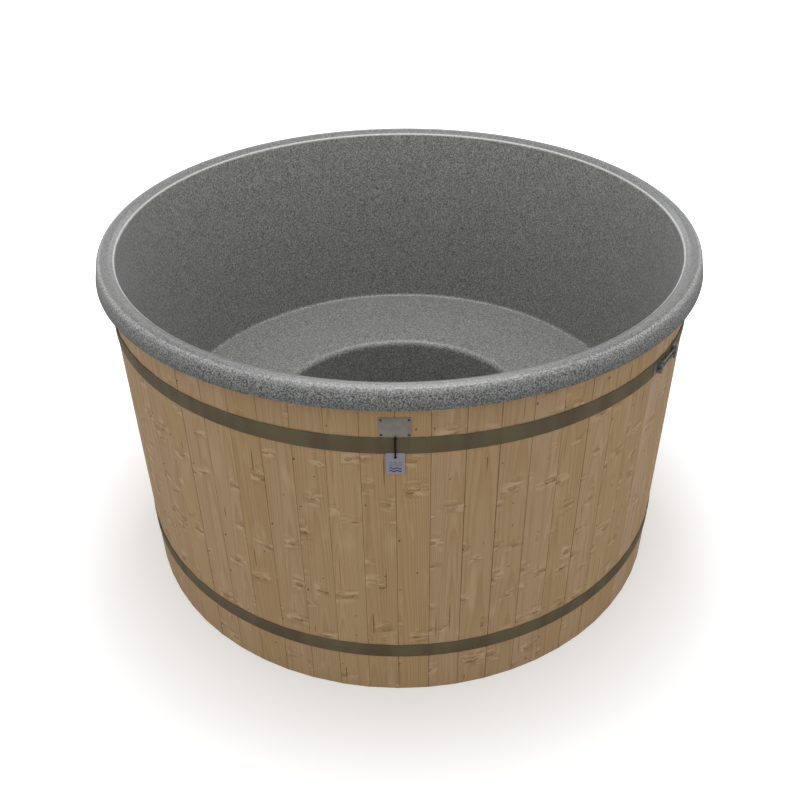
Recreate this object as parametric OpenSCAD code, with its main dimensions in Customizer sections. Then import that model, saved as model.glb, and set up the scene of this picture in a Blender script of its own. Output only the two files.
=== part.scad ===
// Round hot tub. A moulded plastic bath with a ring-shaped bench and a footwell hangs by its
// rolled rim on 64 upright tongue-and-groove staves, which two steel bands pull together.
// Under it are a timber base, a floor drain with a ball valve, and two heater connections.
// Millimetres. Z is up, z = 0 is the floor, the Z axis is the tub's centre line and the
// nameplate looks towards -Y. A turn is an angle about Z, from +X towards +Y.

/* [Cladding] */
// Number of staves round the tub
stave_count = 64; // [60:1:68]
// Radius at the outer corners of the staves
clad_r = 808; // [780:1:840]
// Thickness of a stave
stave_t = 20; // [18:0.5:22]
// Gap between neighbouring staves
joint_gap = 0.3; // [0.2:0.1:0.6]
// Depth of the bevel along each stave's outer edges
v_joint = 1.6; // [1:0.1:4]
// How far a tongue stands out of its stave
tongue_w = 5; // [4:0.5:7]
// Thickness of a tongue
tongue_t = 5; // [4:0.5:6]
// Depth of the tongue's outer face below the stave's outer corner
tongue_in = 7; // [6:0.5:8]
// Play of a tongue in its groove, on each side
tongue_play = 0.3; // [0.2:0.1:0.6]

/* [Bath] */
// Height of the rim above the floor
tub_h = 1000; // [960:5:1100]
// Wall thickness of the bath
liner_t = 6; // [5:0.5:7]
// How far the rim's lower edge stands out past the staves
rim_overhang = 27; // [25:1:34]
// Height of the rim's outer skirt
rim_drop = 49; // [44:1:70]
// How much the skirt draws in towards the rim's top
rim_draft = 10; // [4:0.5:12]
// Distance from the rim's upper corner in to its crest
rim_crest_in = 23.7; // [22:0.1:25]
// Slope of the rim's top outside the crest, in degrees
rim_slope_out = 15; // [10:1:16]
// Slope of the rim's top inside the crest, in degrees
rim_slope_in = 32; // [26:1:33]
// Radius of the rim's crest
rim_crown_r = 25; // [18:1:26]
// Radius of the rim's outer corner
rim_corner_r = 17.5; // [10:0.5:17.5]
// Radius of the rim's inner edge
rim_edge_r = 9; // [7.5:0.5:12]
// Gap between the staves and the back of the bath at its mouth
mouth_gap = 2; // [1:0.5:6]
// How much the bath narrows from its mouth down to the bench
wall_lean = 28; // [10:1:60]
// Height of the bench at the wall
seat_h = 362; // [340:1:420]
// Fall of the bench towards the footwell
seat_fall = 8; // [2:1:20]
// Radius of the corner between the wall and the bench
seat_corner_r = 12; // [8:1:30]
// Radius of the bench's front edge
seat_edge_r = 22; // [10:1:35]
// Radius of the footwell at the bench's edge
foot_r = 416; // [380:1:440]
// How much the footwell narrows towards its floor
foot_lean = 12; // [4:1:20]
// Radius of the corner between the footwell's wall and floor
foot_corner_r = 30; // [15:1:40]

/* [Bands] */
// Width of a band
band_w = 44; // [35:1:50]
// Thickness of a band
band_t = 1.5; // [1:0.1:2.5]
// Distance from the rim's lower edge down to the upper band's middle
upper_band_drop = 112.3; // [100:0.1:160]
// Height of the lower band's middle
lower_band_h = 155.6; // [115:0.1:160]
// Clearance between a band and the staves
band_fit = 0.1; // [0.05:0.05:0.3]
// Gap between a band's two ends
band_end_gap = 8; // [4:1:20]
// Turn of the upper band's closure
upper_closure = -34.4; // [-45:0.1:-20]
// Turn of the lower band's closure
lower_closure = 145; // [130:1:160]
// Distance between the two brackets of a closure
bracket_span = 84; // [70:1:130]
// Thickness of a bracket's upright leg
bracket_t = 4; // [3:0.5:6]
// Distance from the bolts' middle to the edge of a bracket's upright leg
bracket_edge = 5.5; // [4.5:0.5:8]
// Length of a bracket's foot along the band
bracket_foot = 22; // [12:1:40]
// Thickness of a bracket's foot
bracket_foot_t = 2.5; // [2:0.5:4]
// Width of a bracket
bracket_w = 34; // [30:1:35]
// Radius of a band bolt
bolt_r = 3; // [2.5:0.5:3]
// Distance between the two bolts of a closure
bolt_spacing = 16; // [14:1:20]
// Play between a bolt's head and the bracket's foot
bolt_clear = 0.3; // [0.2:0.1:1]
// Width of the bolts' heads and nuts across their corners
hex_w = 11.5; // [10:0.5:12]
// Thickness of the bolts' heads and nuts
hex_t = 5; // [4:0.5:6]
// How far a bolt stands out past its nut
bolt_end = 7; // [2:1:20]

/* [Nameplate and tag] */
// Width of the nameplate
plate_w = 71; // [60:1:90]
// Height of the nameplate
plate_h = 50; // [40:1:54]
// Thickness of the nameplate
plate_t = 1.2; // [0.8:0.1:1.4]
// Gap between the upper band and the nameplate
plate_gap = 3.3; // [3:0.1:6]
// Radius of the nameplate's corners
plate_corner_r = 2; // [1:0.5:4]
// Clearance between the nameplate and the staves
plate_lift = 0.3; // [0.2:0.1:0.5]
// Distance from a screw to the nameplate's edges
plate_screw_in = 5; // [4.5:0.5:8]
// Radius of a nameplate screw
plate_screw_r = 1.5; // [1:0.1:2]
// Length of a nameplate screw under its head
plate_screw_l = 15; // [10:1:18]
// Radius of a nameplate screw's head
plate_head_r = 3; // [2.5:0.1:4]
// Width of the hanging tag
tag_w = 43; // [35:1:60]
// Height of the hanging tag
tag_h = 60; // [45:1:80]
// Thickness of the tag
tag_t = 1; // [0.6:0.1:2]
// Radius of the tag's corners
tag_corner_r = 2; // [1:0.5:4]
// Distance from the tag's top edge to its hole
tag_hole_in = 11; // [8:0.5:14]
// Radius of the tag's hole
tag_hole_r = 2.5; // [2.4:0.1:3]
// Clearance between the tag and what hangs behind it
tag_lift = 0.3; // [0.2:0.1:1]
// Gap between the upper band and the nail
nail_gap = 0.2; // [0.2:0.1:0.6]
// Radius of the nail
nail_r = 1.1; // [0.8:0.1:1.3]
// Radius of the nail's head
nail_head_r = 2.8; // [2.2:0.1:3.5]
// Running clearance between the nail and the cord's knot
nail_fit = 0.08; // [0.04:0.02:0.1]
// Radius of the cord
cord_r = 2; // [1.5:0.1:2.4]
// Radius of the cord's upper knot
nail_knot_r = 3.6; // [3.2:0.1:4]
// Radius of the cord's lower knot
tag_knot_r = 3.2; // [3:0.1:3.6]

/* [Base] */
// Width of a bearer
bearer_w = 45; // [38:1:60]
// Height of a bearer
bearer_h = 60; // [58:1:80]
// Distance from the staves in to the middle of the outermost bearers
bearer_in = 247; // [220:1:300]
// Distance from a bearer's end to its outer screws
bearer_screw_in = 60; // [40:1:90]
// Room between the middle bearer and the drain
drain_clear = 30; // [20:1:60]
// Thickness of the base disc
base_t = 15; // [12:1:21]
// Clearance between the base and the staves
base_fit = 0.5; // [0.3:0.1:2]
// Thickness of the insulation under the footwell
floor_foam_t = 12.5; // [12:0.5:30]
// Clearance under and behind the bath
liner_fit = 0.3; // [0.2:0.1:0.5]
// Inner radius of the ring under the bench
seat_ring_in = 470; // [455:1:500]
// Outer radius of the ring under the bench
seat_ring_out = 700; // [660:1:720]
// Least thickness of the ring under the bench
seat_ring_t = 18; // [12:1:24]
// Number of posts under the bench
post_count = 8; // [6:1:10]
// Width of a post, along the bench
post_w = 45; // [38:1:70]
// Depth of a post, across the bench
post_d = 70; // [45:1:95]
// Radius of the posts' circle
post_ring_r = 600; // [560:1:640]
// Radius of a base screw
base_screw_r = 2.5; // [2:0.1:3]
// Radius of a base screw's head
base_head_r = 5; // [4.5:0.1:6]
// Length of a base screw
base_screw_l = 50; // [40:1:60]

/* [Drain] */
// Distance from the tub's centre to the drain
drain_out = 250; // [225:1:280]
// Height of the drain pipe's middle
pipe_h = 36; // [34:0.5:38]
// Outer radius of the drain pipe
pipe_r = 20; // [16:0.5:21]
// Wall thickness of the drain pipe
pipe_t = 2.5; // [2:0.1:4]
// Radius of the drain's flange
drain_flange_r = 46; // [42:1:52]
// Thickness of the drain's flange
drain_flange_t = 3; // [2.5:0.5:3.5]
// Thickness of the drain's gasket
drain_gasket_t = 1; // [0.5:0.5:2]
// Radius of the drain's bore
drain_bore_r = 22; // [18:0.5:24]
// Radius of the drain's grate
grate_r = 31; // [27:0.5:36]
// Thickness of the drain's grate
grate_t = 1.5; // [1:0.1:1.6]
// Number of slots in the drain's grate
grate_slots = 12; // [8:1:16]
// Outer radius of the drain's body
drain_body_r = 33; // [31:0.5:36]
// Wall thickness of the drain's body and sockets
drain_wall = 4; // [3:0.5:5]
// Distance from the staves to the middle of the valve
valve_out = 57; // [55:1:80]
// Radius of the valve's ball
ball_r = 22.5; // [21:0.5:23]
// Radius of the way through the valve
valve_bore_r = 15.5; // [12:0.5:16]
// Radius of the valve's stem
stem_r = 6; // [5:0.5:7]
// Running clearance of the ball and the stem
valve_fit = 0.05; // [0.02:0.01:0.1]
// Length of the valve's lever
lever_l = 118; // [90:1:140]
// Width of the valve's lever
lever_w = 18; // [16:1:24]
// Thickness of the valve's lever
lever_t = 3; // [2:0.5:4]
// Length of the lever's plastic grip
grip_l = 62; // [40:1:64]
// Thickness of the grip's skin
grip_t = 1.5; // [1:0.1:2.5]
// Length of the hose nipple's barbed tail
nipple_l = 42; // [30:1:60]
// Number of barbs on the nipple
barb_count = 4; // [3:1:6]

/* [Heater connections] */
// Height of the lower connection
heater_low_h = 230; // [226:1:245]
// How far the upper connection's middle lies above the bench
heater_rise = 98; // [88:1:158]
// Outer radius of a spigot
spigot_r = 38; // [30:0.5:40]
// Wall thickness of a spigot's hose end
spigot_t = 2.5; // [2:0.5:3]
// How much slimmer a spigot is on its way through the tub
spigot_neck = 1; // [0.5:0.1:1.5]
// How far a spigot stands out past the staves
spigot_out = 50; // [40:1:60]
// Clearance round a spigot where it passes through
spigot_fit = 0.3; // [0.2:0.1:0.5]
// Radius of the flanges, gaskets and guards
heater_flange_r = 55; // [52:1:57]
// Thickness of a spigot's flange
heater_flange_t = 2.5; // [2:0.5:4]
// Thickness of a gasket
heater_gasket_t = 2; // [1:0.5:3]
// Thickness of a guard
guard_t = 2; // [1.5:0.5:3]
// Radius of a hole in a guard
guard_hole_r = 4; // [3:0.5:4.5]
// Radius of the moulded pad behind a flange
pad_r = 60; // [58:1:62]
// Radius of the circle of flange screws
heater_screw_ring = 47; // [45:0.5:48]
// Radius of a flange screw
heater_screw_r = 2.5; // [2:0.1:3]
// Radius of the rosette on the staves
rosette_r = 48; // [46:0.5:50]
// Thickness of the rosette at its middle
rosette_t = 5; // [4:0.5:8]

/* [Hidden] */
STAVE_NODES = 16;
function two_digits(n) = str(n < 10 ? "0" : "", n);
$fn = 96;
ARC_STEP = 7.5;
big = 2 * clad_r;

// The ring of staves: its flats, its front and the turn from stave to stave.
stave_turn = 360 / stave_count;
front_turn = -90;
stave_face_r = clad_r * cos(stave_turn / 2);
stave_in_r = stave_face_r - stave_t;
function half_width(x) = x * tan(stave_turn / 2) - joint_gap / 2;
arris_r = norm([stave_face_r, half_width(stave_face_r) - v_joint]);
function stave_mid(i) = front_turn + (i + 0.5) * stave_turn;
function seam_at(i) = front_turn + i * stave_turn;
heater_turn = seam_at(round(stave_count * 0.28125));
drain_turn = stave_mid(floor(stave_count / 2));

// The bath's section, as corners [radius, height, rounding] from the skirt to the floor's middle.
rim_r = clad_r + rim_overhang;
mouth_r = stave_in_r - mouth_gap - liner_t;
seat_r = mouth_r - wall_lean;
floor_z = bearer_h + base_t + floor_foam_t + liner_fit + liner_t;
rim_top_r = rim_r - rim_draft;
crest_r = rim_top_r - rim_crest_in;
crest_rise = rim_crown_r * (cos((rim_slope_in - rim_slope_out) / 2)
                            / cos((rim_slope_in + rim_slope_out) / 2) - 1);
crest_z = tub_h + crest_rise;
mouth_z = crest_z - (crest_r - mouth_r) * tan(rim_slope_in);
seat_edge_z = seat_h - seat_fall;
LINER_LINE = [
    [rim_r, tub_h - rim_drop, 0],
    [rim_top_r, crest_z - rim_crest_in * tan(rim_slope_out), rim_corner_r],
    [crest_r, crest_z, rim_crown_r],
    [mouth_r, mouth_z, rim_edge_r],
    [seat_r, seat_h, seat_corner_r],
    [foot_r, seat_edge_z, seat_edge_r],
    [foot_r - foot_lean, floor_z, foot_corner_r],
    [0, floor_z, 0]];
function wall_at(z) = seat_r + (mouth_r - seat_r) * (z - seat_h) / (mouth_z - seat_h);
function riser_at(z) = foot_r - foot_lean * (seat_edge_z - z) / (seat_edge_z - floor_z);
function seat_at(r) = seat_edge_z + seat_fall * (r - foot_r) / (seat_r - foot_r);

// The staves end under the rim, where their inner edge meets the slope inside its crest.
stave_top_z = crest_z - (crest_r - stave_in_r) * tan(rim_slope_in)
    - liner_t / cos(rim_slope_in) - liner_fit;

upper_band_h = tub_h - rim_drop - upper_band_drop;

// Bands and nameplate lie on the staves' outer corners.
band_in_r = arris_r + band_fit;
band_out_r = band_in_r + band_t;
bracket_out_y = bracket_span / 2 + bracket_t;
// A bolt's hexagon clears the foot where it comes nearest, at the upright leg.
bolt_out = max(bolt_r + bolt_clear, hex_w / 2 * cos(30) + bolt_clear
               + sqrt(pow(band_out_r + bracket_foot_t, 2) - pow(bracket_out_y, 2)) - band_out_r);
plate_in_r = arris_r + plate_lift;
plate_out_r = plate_in_r + plate_t;
plate_z = upper_band_h + band_w / 2 + plate_gap + plate_h / 2;
plate_screw_x = plate_w / 2 - plate_screw_in;
plate_screw_z = plate_h / 2 - plate_screw_in;
plate_head_t = 1.6;

// The tag hangs from the nail on a short cord, in front of the upper band.
nail_z = upper_band_h + band_w / 2 + nail_gap + nail_r;
tag_front_y = band_out_r + tag_lift + tag_t;
cord_y = max(plate_out_r, band_out_r) + tag_lift + nail_knot_r;
// The cord's route, from the upper knot to the lower one: [forward, up] of the nail
CORD_ROUTE = [[0, -2], [0.1, -6], [0.2, -10], [0.3, -14], [0.4, -18], [0.5, -22], [0.5, -26],
              [0.5, -30], [0.4, -34], [0.3, -38], [0.2, -42], [0.1, -45], [0, -48], [-0.2, -51],
              [-0.5, -53]];
CORD_SIDES = 8;
cord_end = CORD_ROUTE[len(CORD_ROUTE) - 1];
tag_hole_z = nail_z + cord_end[1];
nail_head_t = 1.2;
nail_deep = 14;

// Base, drain and valve
dish_r = drain_flange_r + 2;
foam_hole_r = dish_r + liner_t + 2;
dish_z = floor_z - drain_gasket_t - drain_flange_t;
drain_tail_r = drain_bore_r + drain_wall;
slot_w = 3;
slot_in = 10;
slot_out = drain_bore_r - 3;
drain_tail_end = dish_z - liner_t - 20;
drain_body_z = dish_z - liner_t;
drain_bottom = pipe_h - pipe_r - drain_wall;
socket_r = pipe_r + drain_wall;
socket_l = 62;
pipe_fit = 0.1;
pipe_start = drain_out + drain_body_r + 2;
valve_x = stave_face_r + valve_out;
valve_in = 40;
pipe_end = valve_x - valve_in + 15;
ball_room = ball_r + 1.5;
barrel_r = 28;
cap_x = 20;
seat_t = 10;
cap_face = 26;
cap_hex_end = 38;
stem_top = 40;
stem_square = 9;
nipple_root_r = 18;
nipple_tail_r = 17.5;
nipple_bore_r = 13;
boss_top = stem_top - 0.3;

// Heater connections
heater_high_h = seat_h + heater_rise;
pad_low_x = sqrt(pow(riser_at(heater_low_h - pad_r), 2) - pow(pad_r, 2)) - 1;
pad_high_x = sqrt(pow(wall_at(heater_high_h - pad_r), 2) - pow(pad_r, 2)) - 1;
pad_t = 16;
heater_screw_l = 20;
heater_head_t = 2.5;
spigot_end = stave_face_r + spigot_out;
hose_start = clad_r + rosette_t + 2;
spigot_hole_r = spigot_r + 1.5;

// ---- shapes shared by several pieces ----

// Puts children out from the tub's centre line, with their own +X pointing away from it.
module out_at(turn, r = 0, z = 0) rotate([0, 0, turn]) translate([r, 0, z]) children();

// A round bar along +X, from x0 to x1.
module bar_x(r, x0, x1, sides = 0) {
    fn = sides > 0 ? sides : $fn;
    translate([x0, 0, 0]) rotate([0, 90, 0]) cylinder(r = r, h = x1 - x0, $fn = fn);
}

// A tube along +X.
module tube_x(r_out, r_in, x0, x1) difference() {
    bar_x(r_out, x0, x1);
    bar_x(r_in, x0 - 1, x1 + 1);
}

// A flat ring lying on z.
module ring(r_out, r_in, z, h) translate([0, 0, z]) difference() {
    cylinder(r = r_out, h = h);
    translate([0, 0, -1]) cylinder(r = r_in, h = h + 2);
}

// A rectangle with round corners, about the origin.
module rounded(w, h, r) {
    square([w, h - 2 * r], center = true);
    square([w - 2 * r, h], center = true);
    for (x = [-1, 1], y = [-1, 1]) translate([x * (w / 2 - r), y * (h / 2 - r)]) circle(r = r);
}

// ---- the bath ----

function unit(v) = v / norm(v);
function left(v) = [-v[1], v[0]];
function corner_turn(u, w) = atan2(u[0] * w[1] - u[1] * w[0], u[0] * w[0] + u[1] * w[1]);
function xy(p) = [p[0], p[1]];
function dir(line, i) = unit(xy(line[i + 1]) - xy(line[i]));
// Length that a corner's rounding takes from each of its two sides
function corner_len(p, u, w) = p[2] * tan(abs(corner_turn(u, w)) / 2);
// Points round one corner of a line, moved to the line's left by off
function corner_points(p, u, w, off) =
    let (turn = corner_turn(u, w), s = sign(turn), start = xy(p) - u * corner_len(p, u, w),
         mid = start + left(u) * s * p[2], n = ceil(abs(turn) / ARC_STEP), out = unit(start - mid))
    [for (k = [0 : n]) let (a = turn * k / n) mid + (p[2] - s * off)
        * [out[0] * cos(a) - out[1] * sin(a), out[0] * sin(a) + out[1] * cos(a)]];
// A line with rounded corners, moved to its left by off
function rounded_line(line, off) = let (last = len(line) - 1) [
    xy(line[0]) + left(dir(line, 0)) * off,
    for (i = [1 : last - 1]) each corner_points(line[i], dir(line, i - 1), dir(line, i), off),
    xy(line[last]) + left(dir(line, last - 1)) * off];
function backwards(list) = [for (i = [len(list) - 1 : -1 : 0]) list[i]];

// The bath's section: the water side, then the back, one wall thickness away from it.
module liner_section()
    polygon(concat(rounded_line(LINER_LINE, 0), backwards(rounded_line(LINER_LINE, liner_t))));

module heater_bores(face_x, depth) {
    bar_x(spigot_r + spigot_fit, face_x - 1, face_x + depth);
    at_heater_screws() bar_x(heater_screw_r, face_x - 1, face_x + pad_t - 1);
}

// Places children at the four flange screws, which stand at 45 degrees round a spigot.
module at_heater_screws() for (a = [45 : 90 : 315])
    translate([0, heater_screw_ring * cos(a), heater_screw_ring * sin(a)]) children();

module at_heater_low() out_at(heater_turn, 0, heater_low_h) children();
module at_heater_high() out_at(heater_turn, 0, heater_high_h) children();
module at_drain() out_at(drain_turn, drain_out, 0) children();

module liner() color("dimgray") difference() {
    union() {
        rotate_extrude($fn = 180) liner_section();
        at_heater_low() bar_x(pad_r, pad_low_x, pad_low_x + pad_t);
        at_heater_high() bar_x(pad_r, pad_high_x, pad_high_x + pad_t);
        at_drain() translate([0, 0, dish_z - liner_t])
            cylinder(r = dish_r + liner_t, h = floor_z - dish_z + liner_t);
    }
    at_heater_low() heater_bores(pad_low_x, pad_t + 30);
    at_heater_high() heater_bores(pad_high_x, pad_t + 30);
    at_drain() {
        translate([0, 0, dish_z]) cylinder(r = dish_r, h = floor_z - dish_z + 1);
        translate([0, 0, dish_z - liner_t - 1]) cylinder(r = drain_tail_r + liner_fit, h = liner_t + 2);
    }
}

// ---- the cladding ----

// One stave seen from above, with +X pointing out of the tub, its groove at -Y.
module stave_section() difference() {
    union() {
        polygon([
            [stave_in_r, -half_width(stave_in_r)],
            [stave_face_r - v_joint, -half_width(stave_face_r - v_joint)],
            [stave_face_r, -half_width(stave_face_r) + v_joint],
            [stave_face_r, half_width(stave_face_r) - v_joint],
            [stave_face_r - v_joint, half_width(stave_face_r - v_joint)],
            [stave_in_r, half_width(stave_in_r)]]);
        rotate([0, 0, stave_turn / 2]) translate([stave_face_r - tongue_in - tongue_t, -3])
            square([tongue_t, 3 + tongue_w]);
    }
    rotate([0, 0, -stave_turn / 2])
        translate([stave_face_r - tongue_in - tongue_t - tongue_play, -1])
            square([tongue_t + 2 * tongue_play, 1 + tongue_w + 2 * tongue_play]);
}

function turn_between(a, b) = abs(((a - b + 540) % 360 + 360) % 360 - 180);

module stave(i) rotate([0, 0, stave_mid(i)]) difference() {
    linear_extrude(height = stave_top_z) stave_section();
    rotate([0, 0, -stave_mid(i)]) {
        if (turn_between(stave_mid(i), heater_turn) < 1.5 * stave_turn) {
            at_heater_low() bar_x(spigot_hole_r, stave_in_r - 5, clad_r + 5);
            at_heater_high() bar_x(spigot_hole_r, stave_in_r - 5, clad_r + 5);
        }
        if (turn_between(stave_mid(i), drain_turn) < stave_turn)
            out_at(drain_turn, 0, pipe_h) bar_x(pipe_r + 1.5, stave_in_r - 5, clad_r + 5);
        if (turn_between(stave_mid(i), front_turn) < stave_turn) {
            at_plate_screws() bar_x(plate_screw_r, arris_r - plate_screw_l - 1, clad_r + 5);
            out_at(front_turn, 0, nail_z) bar_x(nail_r, arris_r - nail_deep - 1, clad_r + 5);
        }
    }
}

// The staves are shared out over the stave nodes, side by side from the front.
module staves(k) color("burlywood")
    for (i = [floor(stave_count * (k - 1) / STAVE_NODES)
              : floor(stave_count * k / STAVE_NODES) - 1]) stave(i);

// ---- the bands ----

module at_closure(turn, z) out_at(turn, 0, z) children();

module band(turn, z) color("#6b6353") at_closure(turn, z)
    translate([0, 0, -band_w / 2]) linear_extrude(height = band_w) difference() {
        circle(r = band_out_r, $fn = 180);
        circle(r = band_in_r, $fn = 180);
        translate([0, -band_end_gap / 2]) square([big, band_end_gap]);
    }

module bracket_section() difference() {
    union() {
        translate([0, bracket_span / 2]) square([band_out_r + bolt_out + bracket_edge, bracket_t]);
        intersection() {
            circle(r = band_out_r + bracket_foot_t, $fn = 180);
            translate([0, bracket_span / 2]) square([big, bracket_t + bracket_foot]);
        }
    }
    circle(r = band_out_r, $fn = 180);
}

module brackets(turn, z) color("silver") at_closure(turn, z) for (side = [0, 1])
    mirror([0, side, 0]) difference() {
        translate([0, 0, -bracket_w / 2]) linear_extrude(height = bracket_w) bracket_section();
        at_bolts() bar_y(bolt_r + 0.3, bracket_span / 2 - 1, bracket_span / 2 + bracket_t + 1);
    }

// A round bar along +Y, from y0 to y1.
module bar_y(r, y0, y1) translate([0, y1, 0]) rotate([90, 0, 0]) cylinder(r = r, h = y1 - y0);

// A hexagonal bar along +Y, with a flat towards the tub.
module hex_y(w, y0, y1) translate([0, y1, 0]) rotate([90, 0, 0]) rotate([0, 0, 30])
    cylinder(r = w / 2, h = y1 - y0, $fn = 6);

module at_bolts() for (side = [-1, 1])
    translate([band_out_r + bolt_out, 0, side * bolt_spacing / 2]) children();

module bolts(turn, z) color("gainsboro") at_closure(turn, z) at_bolts() {
    bar_y(bolt_r, -bracket_out_y, bracket_out_y + hex_t + bolt_end);
    hex_y(hex_w, -bracket_out_y - hex_t, -bracket_out_y);
}

module nuts(turn, z) color("gainsboro") at_closure(turn, z) at_bolts() difference() {
    hex_y(hex_w, bracket_out_y, bracket_out_y + hex_t);
    bar_y(bolt_r, bracket_out_y - 1, bracket_out_y + hex_t + 1);
}

// ---- nameplate and tag ----

module at_plate_screws() for (x = [-1, 1], z = [-1, 1])
    out_at(front_turn + x * asin(plate_screw_x / plate_out_r), 0, plate_z + z * plate_screw_z) children();

module nameplate() color("lightslategray") difference() {
    intersection() {
        ring(plate_out_r, plate_in_r, plate_z - plate_h / 2, plate_h, $fn = 180);
        translate([0, 0, plate_z]) rotate([90, 0, 0])
            linear_extrude(height = big) rounded(plate_w, plate_h, plate_corner_r);
    }
    at_plate_screws() bar_x(plate_screw_r + 0.3, arris_r - 5, clad_r + 10);
}

module nameplate_screws() color("silver") at_plate_screws() {
    bar_x(plate_screw_r, arris_r - plate_screw_l, plate_out_r + plate_head_t / 2);
    bar_x(plate_head_r, plate_out_r, plate_out_r + plate_head_t);
}

nail_head_x = cord_y + nail_knot_r + 0.3;

module tag_nail() color("#222222") out_at(front_turn, 0, nail_z) {
    bar_x(nail_r, arris_r - nail_deep, nail_head_x + nail_head_t / 2);
    bar_x(nail_head_r, nail_head_x, nail_head_x + nail_head_t);
}

// Points of one ring round the cord's route, square to it.
function route_point(i) = [0, -cord_y - CORD_ROUTE[i][0], nail_z + CORD_ROUTE[i][1]];
function route_dir(i) = unit(route_point(min(i + 1, len(CORD_ROUTE) - 1)) - route_point(max(i - 1, 0)));
function cord_ring(i) = [for (s = [0 : CORD_SIDES - 1])
    route_point(i) + cord_r * (cos(s * 360 / CORD_SIDES) * [1, 0, 0]
                               + sin(s * 360 / CORD_SIDES) * cross(route_dir(i), [1, 0, 0]))];

module tag_cord() {
    points = [for (i = [0 : len(CORD_ROUTE) - 1]) each cord_ring(i)];
    last = (len(CORD_ROUTE) - 1) * CORD_SIDES;
    sides = [for (i = [0 : len(CORD_ROUTE) - 2], s = [0 : CORD_SIDES - 1])
        let (a = i * CORD_SIDES + s, b = i * CORD_SIDES + (s + 1) % CORD_SIDES)
        each [[a, a + CORD_SIDES, b], [b, a + CORD_SIDES, b + CORD_SIDES]]];
    ends = [[for (s = [0 : CORD_SIDES - 1]) s], [for (s = [CORD_SIDES - 1 : -1 : 0]) last + s]];
    color("black") polyhedron(points = points, faces = concat(sides, ends));
}

module tag_knots() color("black") {
    difference() {
        translate([0, -cord_y, nail_z]) sphere(r = nail_knot_r);
        out_at(front_turn, 0, nail_z) bar_x(nail_r + nail_fit, cord_y - 9, cord_y + 9);
    }
    translate([0, -cord_y - cord_end[0], tag_hole_z]) sphere(r = tag_knot_r);
}

module tag() color("lavender") difference() {
    translate([0, -tag_front_y, tag_hole_z + tag_hole_in - tag_h / 2]) rotate([-90, 0, 0])
        linear_extrude(height = tag_t) rounded(tag_w, tag_h, tag_corner_r);
    out_at(front_turn, 0, tag_hole_z) bar_x(tag_hole_r, tag_front_y - 5, tag_front_y + 5);
}

// ---- the base ----

function bearer_x(n) = n * (stave_in_r - bearer_in) / 2;
function bearer_half(n) = sqrt(pow(stave_in_r - base_fit, 2) - pow(abs(bearer_x(n)) + bearer_w / 2, 2));
// The middle bearer stops short of the drain.
function bearer_end(n) = n == 0 ? drain_out - drain_body_r - drain_clear : bearer_half(n);

module at_base_screws()
    for (n = [-2 : 2], y = [bearer_screw_in - bearer_half(n), 0, bearer_end(n) - bearer_screw_in])
    translate([bearer_x(n), y, bearer_h + base_t]) children();

module base_screw(extra) {
    translate([0, 0, -base_screw_l]) cylinder(r = base_screw_r + extra, h = base_screw_l);
    translate([0, 0, -base_head_r]) cylinder(r1 = 0, r2 = base_head_r + extra, h = base_head_r);
}

module base_bearers() color("darkseagreen") difference() {
    for (n = [-2 : 2])
        translate([bearer_x(n) - bearer_w / 2, -bearer_half(n), 0])
            cube([bearer_w, bearer_half(n) + bearer_end(n), bearer_h]);
    at_base_screws() translate([0, 0, -base_screw_l]) cylinder(r = base_screw_r, h = base_screw_l);
}

module base_disc() color("tan") difference() {
    translate([0, 0, bearer_h]) cylinder(r = stave_in_r - base_fit, h = base_t, $fn = 180);
    at_drain() translate([0, 0, bearer_h - 1]) cylinder(r = drain_body_r + 3, h = base_t + 2);
    at_base_screws() base_screw(0);
}

module base_screws() color("silver") at_base_screws() base_screw(0);

module floor_insulation() color("aliceblue") difference() {
    translate([0, 0, bearer_h + base_t])
        cylinder(r = foot_r - foot_lean - foot_corner_r - 5, h = floor_foam_t, $fn = 180);
    at_drain() translate([0, 0, bearer_h]) cylinder(r = foam_hole_r, h = floor_z);
}

// Foam fills the wedge between the bath's wall and the staves, above the bench.
foam_low_z = seat_h + seat_corner_r + 15;
foam_high_z = tub_h - rim_drop;
module wall_insulation() color("khaki") difference() {
    rotate_extrude($fn = 180) polygon([
        [wall_at(foam_low_z) + liner_t + 2 * liner_fit, foam_low_z],
        [stave_in_r - base_fit, foam_low_z],
        [stave_in_r - base_fit, foam_high_z],
        [wall_at(foam_high_z) + liner_t + 2 * liner_fit, foam_high_z]]);
    at_heater_high() bar_x(pad_r + 3, seat_r - 20, clad_r);
}

seat_ring_low = seat_at(seat_ring_in) - liner_t - 2 * liner_fit - seat_ring_t;
module seat_ring() color("tan") rotate_extrude($fn = 180) polygon([
    [seat_ring_in, seat_ring_low],
    [seat_ring_out, seat_ring_low],
    [seat_ring_out, seat_at(seat_ring_out) - liner_t - 2 * liner_fit],
    [seat_ring_in, seat_ring_low + seat_ring_t]]);

module seat_posts() color("tan") for (k = [0 : post_count - 1])
    out_at(heater_turn + (k + 0.5) * 360 / post_count, post_ring_r, bearer_h + base_t)
        translate([-post_d / 2, -post_w / 2, 0])
            cube([post_d, post_w, seat_ring_low - bearer_h - base_t]);

// ---- the drain ----

module drain_gasket() color("#333333") at_drain()
    ring(drain_flange_r, drain_tail_r + liner_fit, dish_z, drain_gasket_t);

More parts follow.
